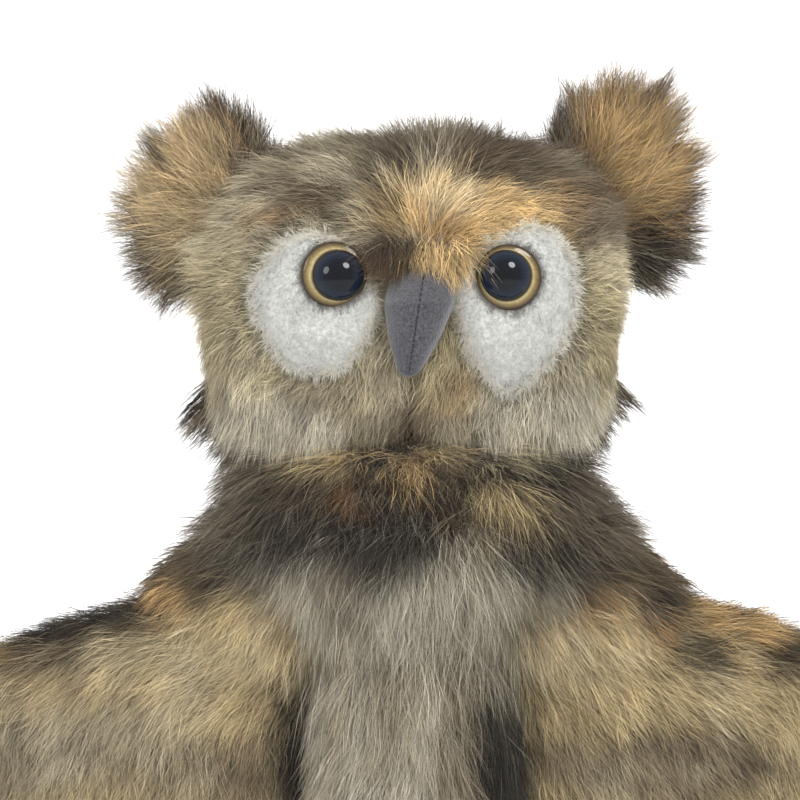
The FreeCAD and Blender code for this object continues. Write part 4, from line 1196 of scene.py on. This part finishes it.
def make_torso(pile, cloth):
    """A tube of pile cloth round the chassis, open at the base plate."""
    surface = turned(TORSO_PROFILE, rings=170, squash=0.98, loop=True)
    made = skin("torso_skin", "torso", surface, cloth, torso_tint)
    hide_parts("torso_fur")

    def between(low, high, front=None):
        def keep(points, normals):
            kept = (points[:, 2] > low) & (points[:, 2] <= high) & outer_wall(points, normals)
            if front is not None:
                kept &= (points[:, 1] < 4) == front
            return kept.astype(float)
        return keep

    coat("torso_pile_front", "torso", pile, surface, density=2.6, seed=65, keep=between(110, 240, True),
         style=torso_style)
    coat("torso_pile_low", "torso", pile, surface, density=1.2, seed=66, keep=between(8, 110),
         style=torso_style, width=0.45)
    coat("torso_pile_back", "torso", pile, surface, density=1.1, seed=67, keep=between(110, 240, False),
         style=torso_style, width=0.5)


SHOULDER_OUTLINE = [(30, 234), (46, 236), (68, 234), (88, 226), (102, 212), (96, 196), (72, 188), (48, 186),
                    (36, 196)]


def make_shoulder(name, side, pile, cloth):
    """The pile cloth that runs from the collar over the wing's root."""
    surface = pad([(side * x, z) for x, z in SHOULDER_OUTLINE], half_thickness=25, middle=2)

    def tint(points):
        inner = chest_share(points) * (1 - smooth(np.abs(points[:, 0]), 38, 60)) * smooth(-points[:, 1], 0, 8)
        return blend(wing_tint(points, side), GREY_BEIGE * 0.6 + PALE * 0.4, inner * 0.85)

    def style(points, normals):
        high = smooth(points[:, 2], 196, 226)
        out = points[:, 0] * side
        comb = vectors(side * (0.55 + 0.7 * high), 0, -0.95 + 0.35 * high)
        swirl = (rough_noise(points, 16, 135) - 0.5) * 0.9
        comb = comb + vectors(0, 0, swirl)
        length = 22 + 6 * smooth(-out, -80, -40)
        comb = unit(comb)
        colours = tint(shown(points, comb, length))
        return comb, length, shades(colours, 0.4, 0.95, 1.15), 0.42

    made = skin(f"shoulder_skin_{name}", None, surface, cloth,
                tint)
    pieces = [made]
    pieces += coat(f"shoulder_pile_front_{name}", None, pile, surface, density=2.8, seed=137 + side,
                   keep=facing_front, style=style, gather=0.65, tuft_size=3.2)
    pieces += coat(f"shoulder_pile_back_{name}", None, pile, surface, density=1.0, seed=141 + side,
                   keep=facing_back, style=style, width=0.5, gather=0.65, tuft_size=3.2)
    for piece in pieces:
        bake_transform(piece)


TAIL_OUTLINE = [(-20, 50), (-32, 76), (-30, 94), (-12, 99), (12, 99), (30, 94), (32, 76), (20, 50), (0, 44)]
FOOT_OUTLINE = [(10, -60), (13, -80), (25, -87), (39, -80), (42, -60), (36, -46), (17, -46)]


def make_tail(pile, cloth):
    surface = pad(TAIL_OUTLINE, half_thickness=5.0, middle=6.4, across="XY")

    def tint(points):
        bands = smooth(np.sin(points[:, 1] / 4.2 + rough_noise(points, 12, 71) * 3), -0.2, 0.5)
        return blend(BEIGE, DARK, bands * 0.85)

    made = skin("tail_skin", "torso", surface, cloth, tint)
    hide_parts("tail_fur")

    def style(points, normals):
        comb = vectors(points[:, 0] / 40, np.ones(len(points)), -0.05)
        tones = tint(points)
        return comb, 15.0, shades(tones, 0.5, 0.95, 1.1), 0.25

    coat("tail_pile", "torso", pile, surface, density=1.4, seed=73,
         keep=lambda spots, ways: (ways[:, 2] > -0.3).astype(float), style=style, width=0.4, droop=0.02)


FILLING_PRESSURE = 200   # a case this small hardly swells at the pressure that fills a seat cushion
FELT_STIFFNESS = 5
CLOTH_FRAMES = 20
FOOT_MIDDLE = (26, -66.5)
FOOT_START = 0.94        # the case starts smaller, because it swells
FOOT_VOXEL = 2.0
FOOT_SWELL = 1.2         # the furthest that a point of the case may move
TOE_CREASES = (18, 33)


def mesh_points(mesh):
    flat = np.empty(len(mesh.vertices) * 3)
    mesh.vertices.foreach_get("co", flat)
    return flat.reshape(-1, 3) / MM


def stuffed(surface, voxel, cap):
    """Sews a case to the surface and fills it: cloth under pressure, with no point moving past the cap."""
    case = make_mesh("case", surface.points, surface.triangles)
    even = case.modifiers.new("even", "REMESH")
    even.mode = "VOXEL"
    even.voxel_size = voxel * MM
    flat = bpy.data.meshes.new_from_object(case.evaluated_get(bpy.context.evaluated_depsgraph_get()))
    case.modifiers.clear()
    case.data = flat
    start = mesh_points(flat)
    cloth = case.modifiers.new("filling", "CLOTH")
    cloth.settings.use_pressure = True
    cloth.settings.uniform_pressure_force = FILLING_PRESSURE
    cloth.settings.tension_stiffness = cloth.settings.compression_stiffness = FELT_STIFFNESS
    cloth.settings.effector_weights.gravity = 0
    for frame_number in range(1, CLOTH_FRAMES + 1):
        bpy.context.scene.frame_set(frame_number)
    swollen = mesh_points(case.evaluated_get(bpy.context.evaluated_depsgraph_get()).data)
    bpy.context.scene.frame_set(1)
    move = swollen - start
    far = np.linalg.norm(move, axis=1, keepdims=True)
    start = start + move * np.minimum(1, cap / np.maximum(far, 1e-9))
    faces = [tuple(face.vertices) for face in flat.polygons]
    bpy.data.objects.remove(case)
    return start, faces


def make_foot(name, side, felt):
    mid_x, mid_y = FOOT_MIDDLE
    outline = [(side * (mid_x + (x - mid_x) * FOOT_START), mid_y + (y - mid_y) * FOOT_START)
               for x, y in FOOT_OUTLINE]
    case = pad(outline, half_thickness=5.4, middle=6.8, across="XY")
    points, faces = stuffed(case, FOOT_VOXEL, FOOT_SWELL)
    for toe in TOE_CREASES:
        crease = np.exp(-((points[:, 0] * side - toe) / 1.8) ** 2) * smooth(-points[:, 1], 60, 74)
        points[:, 2] -= crease * 3.0 * smooth(points[:, 2], 5, 9)
    points[:, 2] = np.maximum(points[:, 2], FLOOR_GAP)
    made = make_mesh(f"foot_pad_{name}", points, faces)
    rounding = made.modifiers.new("rounding", "SUBSURF")
    rounding.levels = rounding.render_levels = 1
    made.data.materials.append(felt)
    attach(made, "torso")
    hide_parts(f"foot_{name}")


# Wings --------------------------------------------------------------------------------------------

WING_OUTLINE = [(44, 194), (60, 203), (80, 207), (106, 206), (134, 198), (168, 186), (205, 176), (240, 162),
                (266, 143), (269, 120), (252, 98), (216, 77), (170, 65), (122, 61), (88, 63), (64, 78),
                (52, 106), (44, 142), (41, 172)]

WING_MIDDLE = 140        # the faces swell from here, sideways and up
WING_COARSE = 175        # farther out than this the pile is thinner and its strands wider

WING_PATCHES = {
    "left": [
        (GREY_BEIGE, 0.8, -150, 150, 60, 20, 8),
        (TAUPE, 0.7, -80, 142, 40, 14, 0),
        (TAUPE, 0.5, -160, 176, 34, 6, 16),
        (BEIGE, 0.6, -110, 186, 34, 7, 10),
        (CREAM, 0.3, -78, 184, 16, 10, 0),
    ],
    "right": [
        (TAUPE, 0.8, 100, 144, 60, 16, 0),
        (BROWN, 0.4, 110, 158, 22, 6, -20),
        (CREAM, 0.3, 70, 184, 16, 10, 0),
    ],
}
WING_BARS = {
    "left": [
        (GOLD, 0.95, -96, 210, 7, 8, 0),
        (RUST, 0.5, -99, 206, 6, 4, 0),
        (GOLD, 0.8, -166, 186, 10, 5, 20),
        (BLACK, 0.8, -136, 194, 34, 7, 14),
        (BLACK, 0.7, -76, 216, 12, 5, 30),
    ],
    "right": [
        (RUST, 0.9, 72, 207, 12, 6, -24),
        (BLACK, 0.9, 98, 207, 11, 6, -20),
        (RUST, 0.9, 96, 197, 10, 4, -25),
        (GOLD, 0.9, 118, 200, 13, 5, -20),
        (DARK, 0.9, 116, 187, 12, 6, -10),
        (GOLD, 0.9, 140, 196, 9, 7, 40),
        (DARK, 0.9, 152, 184, 12, 5, 10),
    ],
}
WING_RIDGE_X = [30, 46, 66, 86, 104, 134, 168, 205, 240, 266]
WING_RIDGE_Z = [236, 235, 229, 217, 207, 198, 186, 176, 162, 143]


def wing_tint(points, side):
    """Golden beige in front with a dark, barred upper edge, and darker still behind."""
    mirrored = points * np.array([side, 1, 1])
    name = "left" if side < 0 else "right"
    front = paint(points, (GOLD + STRAW + BEIGE) / 3, WING_PATCHES[name])
    drawn = rough_noise(points * np.array([0.5, 1, 0.3]), 6, 106)
    front = blend(front, CREAM, smooth(drawn, 0.54, 0.7) * 0.4)
    front = blend(front, BROWN, smooth(1 - drawn, 0.56, 0.72) * 0.5)
    ridge = np.interp(mirrored[:, 0], WING_RIDGE_X, WING_RIDGE_Z) + (rough_noise(points, 18, 103) - 0.5) * 10
    band = smooth(mirrored[:, 2] - ridge, -13, -7)
    front = blend(front, DARK * 0.5 + BROWN * 0.5, band * 0.85)
    front = paint(points, front, WING_BARS[name])
    # Black along the wing's inner edge below about 186 mm: painted shade in the crease where the wing meets
    # the torso.
    seam = 57 if side < 0 else 37
    crease = smooth(-mirrored[:, 0], -seam - 6, -seam + 4) * smooth(-mirrored[:, 2], -186, -165)
    front = blend(front, BLACK * 0.8, crease * 0.95)
    low = smooth(-mirrored[:, 2], -140, -110) * 0.6
    front = blend(front, TAUPE, low * smooth(rough_noise(points, 26, 108), 0.35, 0.6))
    tips = smooth(mirrored[:, 0], 200, 250) * smooth(rough_noise(points, 22, 105), 0.4, 0.6)
    front = blend(front, DARK, tips * 0.7)
    return blend(mottled_rear(points, 107), front, smooth(-points[:, 1], -4, 5))


def make_wing(name, side, pile, cloth):
    outline = [(side * x, z) for x, z in WING_OUTLINE]
    surface = pad(outline, half_thickness=16, middle=0, centre=(side * WING_MIDDLE, WING_MIDDLE))
    body = f"wing_{name}"
    made = skin(f"wing_skin_{name}", body, surface, cloth,
                lambda points: wing_tint(points, side))
    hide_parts(f"wing_fur_{name}")

    def style(points, normals):
        high = smooth(points[:, 2], 150, 200)
        comb = vectors(side * (0.35 + 0.75 * high), 0, -0.9 + 0.6 * high)
        swirl = (rough_noise(points, 38, 113) - 0.5) * 1.3
        comb = swirled(comb, swirl)
        length = 18 + 7 * smooth(-points[:, 2], -120, -80) + 6 * high
        comb = unit(comb)
        tint = wing_tint(shown(points, comb, length), side)
        return comb, length, shades(tint, 0.38, 0.92, 1.14), 0.32 + 0.14 * high

    shape = {"gather": 0.6, "droop": 0.12}
    seed = 151 + side
    coat(f"wing_pile_inner_{name}", body, pile, surface, density=2.8, seed=seed,
         keep=lambda spots, ways: ((spots[:, 1] < 2) & (spots[:, 0] * side < WING_COARSE)).astype(float),
         style=style, **shape)
    coat(f"wing_pile_outer_{name}", body, pile, surface, density=1.4, seed=seed + 4,
         keep=lambda spots, ways: ((spots[:, 1] < 2) & (spots[:, 0] * side >= WING_COARSE)).astype(float),
         style=style, width=0.42, **shape)
    coat(f"wing_pile_back_{name}", body, pile, surface, density=1.0, seed=seed + 8,
         keep=lambda spots, ways: (spots[:, 1] >= 2).astype(float), style=style, width=0.5, **shape)


# Wadding and hard parts ---------------------------------------------------------------------------

WADDING_PROFILE = [(34, 120), (34, 40), (34, 12), (36, 8), (40, 8), (46, 28), (45, 52), (42, 90), (38, 128),
                   (36.4, 165), (36.4, 215), (35.6, 221), (34, 215), (34, 120)]


def make_wadding(cotton):
    inner_torso = turned(WADDING_PROFILE, rings=120, loop=True)
    jobs = [("torso_wadding", "torso", inner_torso, "torso_stuffing"),
            ("head_wadding", "head", boxy_ball(HEAD_CENTRE, HEAD_HALF - 5, HEAD_POWER), "head_stuffing")]
    for name, side in (("left", -1), ("right", 1)):
        outline = [(side * (x * 0.94 + 8), z * 0.9 + 13) for x, z in WING_OUTLINE]
        filling = pad(outline, half_thickness=9, middle=0, centre=(side * WING_MIDDLE, WING_MIDDLE))
        jobs.append((f"wing_wadding_{name}", f"wing_{name}", filling, f"wing_stuffing_{name}"))
    for name, body, surface, node_name in jobs:
        depth = 0.8 if name == "torso_wadding" else 2.0
        lumps = rough_noise(surface.points, 9, 121)[:, None] - 0.8
        points = surface.points + surface.normals * lumps * depth
        made = make_mesh(name, points, surface.triangles)
        made.data.materials.append(cotton)
        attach(made, body)
        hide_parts(node_name)


NODE_MATERIALS = {
    "shell_plastic": lambda: plastic_material("shell_plastic_moulded", colour(112, 108, 104), 0.5, 0.45,
                                              0.04),
    "gear_plastic": lambda: plastic_material("acetal", colour(228, 224, 212), 0.38),
    "button_plastic": lambda: plastic_material("button_red", colour(188, 60, 44), 0.3),
    "steel": lambda: metal_material("zinc_plated_steel", colour(190, 190, 188)),
    "cell_wrap": lambda: plastic_material("cell_sleeve", colour(58, 66, 84), 0.3),
    "circuit_green": lambda: plastic_material("solder_mask", colour(34, 104, 62), 0.35),
    "chip_black": lambda: plastic_material("moulded_black", colour(38, 38, 40), 0.55),
}


def dress_nodes():
    """Gives each CAD node whose material slot NODE_MATERIALS lists a finished material."""
    made = {slot: maker() for slot, maker in NODE_MATERIALS.items()}
    for part in frame["record"]["subparts"]:
        if part["material_slot"] in made:
            item = frame["nodes"][part["node"]]
            item.data.materials.clear()
            item.data.materials.append(made[part["material_slot"]])


# Stage --------------------------------------------------------------------------------------------

STAGE_REACH, STAGE_HEIGHT, STAGE_CURVE = 4600.0, 3600.0, 900.0
STAGE_DROP = 0.2         # how far the floor lies under the owl


def make_stage():
    """A pale floor that curves up into a wall far behind the owl."""
    profile = [(-STAGE_REACH, 0.0), (STAGE_REACH - STAGE_CURVE, 0.0)]
    for angle in np.arange(1, 13) / 12 * math.pi / 2:
        profile.append((STAGE_REACH - STAGE_CURVE + STAGE_CURVE * math.sin(angle),
                        STAGE_CURVE - STAGE_CURVE * math.cos(angle)))
    profile.append((STAGE_REACH, STAGE_HEIGHT))
    points = []
    for x in (-STAGE_REACH, STAGE_REACH):
        points += [np.array([x, y, z - STAGE_DROP]) for y, z in profile]
    count = len(profile)
    faces = [(index, index + 1, count + index + 1, count + index) for index in range(count - 1)]
    floor = make_mesh("studio_floor", points, [face[::-1] for face in faces])
    made, tree, shader = new_material("studio_paper", Roughness=0.9, Specular_IOR_Level=0.1)
    tree.links.new(times(tree, tuple(colour(250, 250, 250)), grain(tree, 60.0, 0.99, 1.0)),
                   shader.inputs["Base Color"])
    floor.data.materials.append(made)


def add_light(name, place, aim, size, power):
    data = bpy.data.lights.new(name, "AREA")
    data.shape = "DISK"
    data.size = size
    data.energy = power
    made = add_object(name, data)
    made.location = [value * MM for value in place]
    way = np.array(aim, float) - np.array(place, float)
    made.rotation_euler = Vector(way).to_track_quat("-Z", "Y").to_euler()


def make_lights():
    world = bpy.data.worlds.new("studio_world")
    world.use_nodes = True
    world.node_tree.nodes["Background"].inputs["Color"].default_value = (1, 1, 1, 1)
    world.node_tree.nodes["Background"].inputs["Strength"].default_value = 0.78
    bpy.context.scene.world = world
    add_light("key_softbox", (500, -1100, 1100), (0, 0, 280), 0.5, 11)
    add_light("fill_softbox", (-900, -900, 700), (0, 0, 250), 0.5, 4)
    add_light("back_wall_wash", (0, 2700, 1900), (0, 4500, 500), 1.6, 75)


SENSOR_WIDTH = 36.0
VIEW_WIDTH = 320.0       # what the picture spans at the owl's middle
CAMERA_DISTANCE = 1100.0
CAMERA_X, CAMERA_Z = -5.6, 288.0


def make_camera():
    data = bpy.data.cameras.new("camera")
    data.sensor_width = SENSOR_WIDTH
    data.lens = SENSOR_WIDTH * CAMERA_DISTANCE / VIEW_WIDTH
    made = add_object("camera", data)
    made.location = (CAMERA_X * MM, -CAMERA_DISTANCE * MM, CAMERA_Z * MM)
    made.rotation_euler = (math.pi / 2, 0, 0)
    bpy.context.scene.camera = made
    bpy.context.scene.view_settings.view_transform = "Standard"


# The whole owl ------------------------------------------------------------------------------------

def build():
    make_camera()
    make_lights()
    make_stage()
    pile = pile_material("long_pile")
    plush = pile_material("short_white_plush", streak=3.0, low=0.95, high=1.03, roughness=0.85, sheen=0.4)
    cloth = pile_material("pile_backing", streak=1.2, low=0.7, high=1.2, roughness=0.95, sheen=0.0)
    felt = cloth_material("foot_felt", colour(104, 103, 109))
    thread = plastic_material("seam_thread", colour(34, 33, 36), 0.7, 0.2, 0.02)
    cotton = cloth_material("polyester_wadding", colour(236, 236, 232), 1.4, 0.6)
    make_head(pile, cloth)
    enamel = eye_material()
    for side in ("left", "right"):
        make_disc(side, plush, cloth)
        make_eye(side, enamel)
        make_ear(side, pile, cloth)
    make_beak(beak_material(), thread)
    make_ruff(pile, cloth)
    make_torso(pile, cloth)
    make_tail(pile, cloth)
    for name, side in (("left", -1), ("right", 1)):
        make_foot(name, side, felt)
        make_wing(name, side, pile, cloth)
        make_shoulder(name, side, pile, cloth)
    make_wadding(cotton)
    dress_nodes()


build()
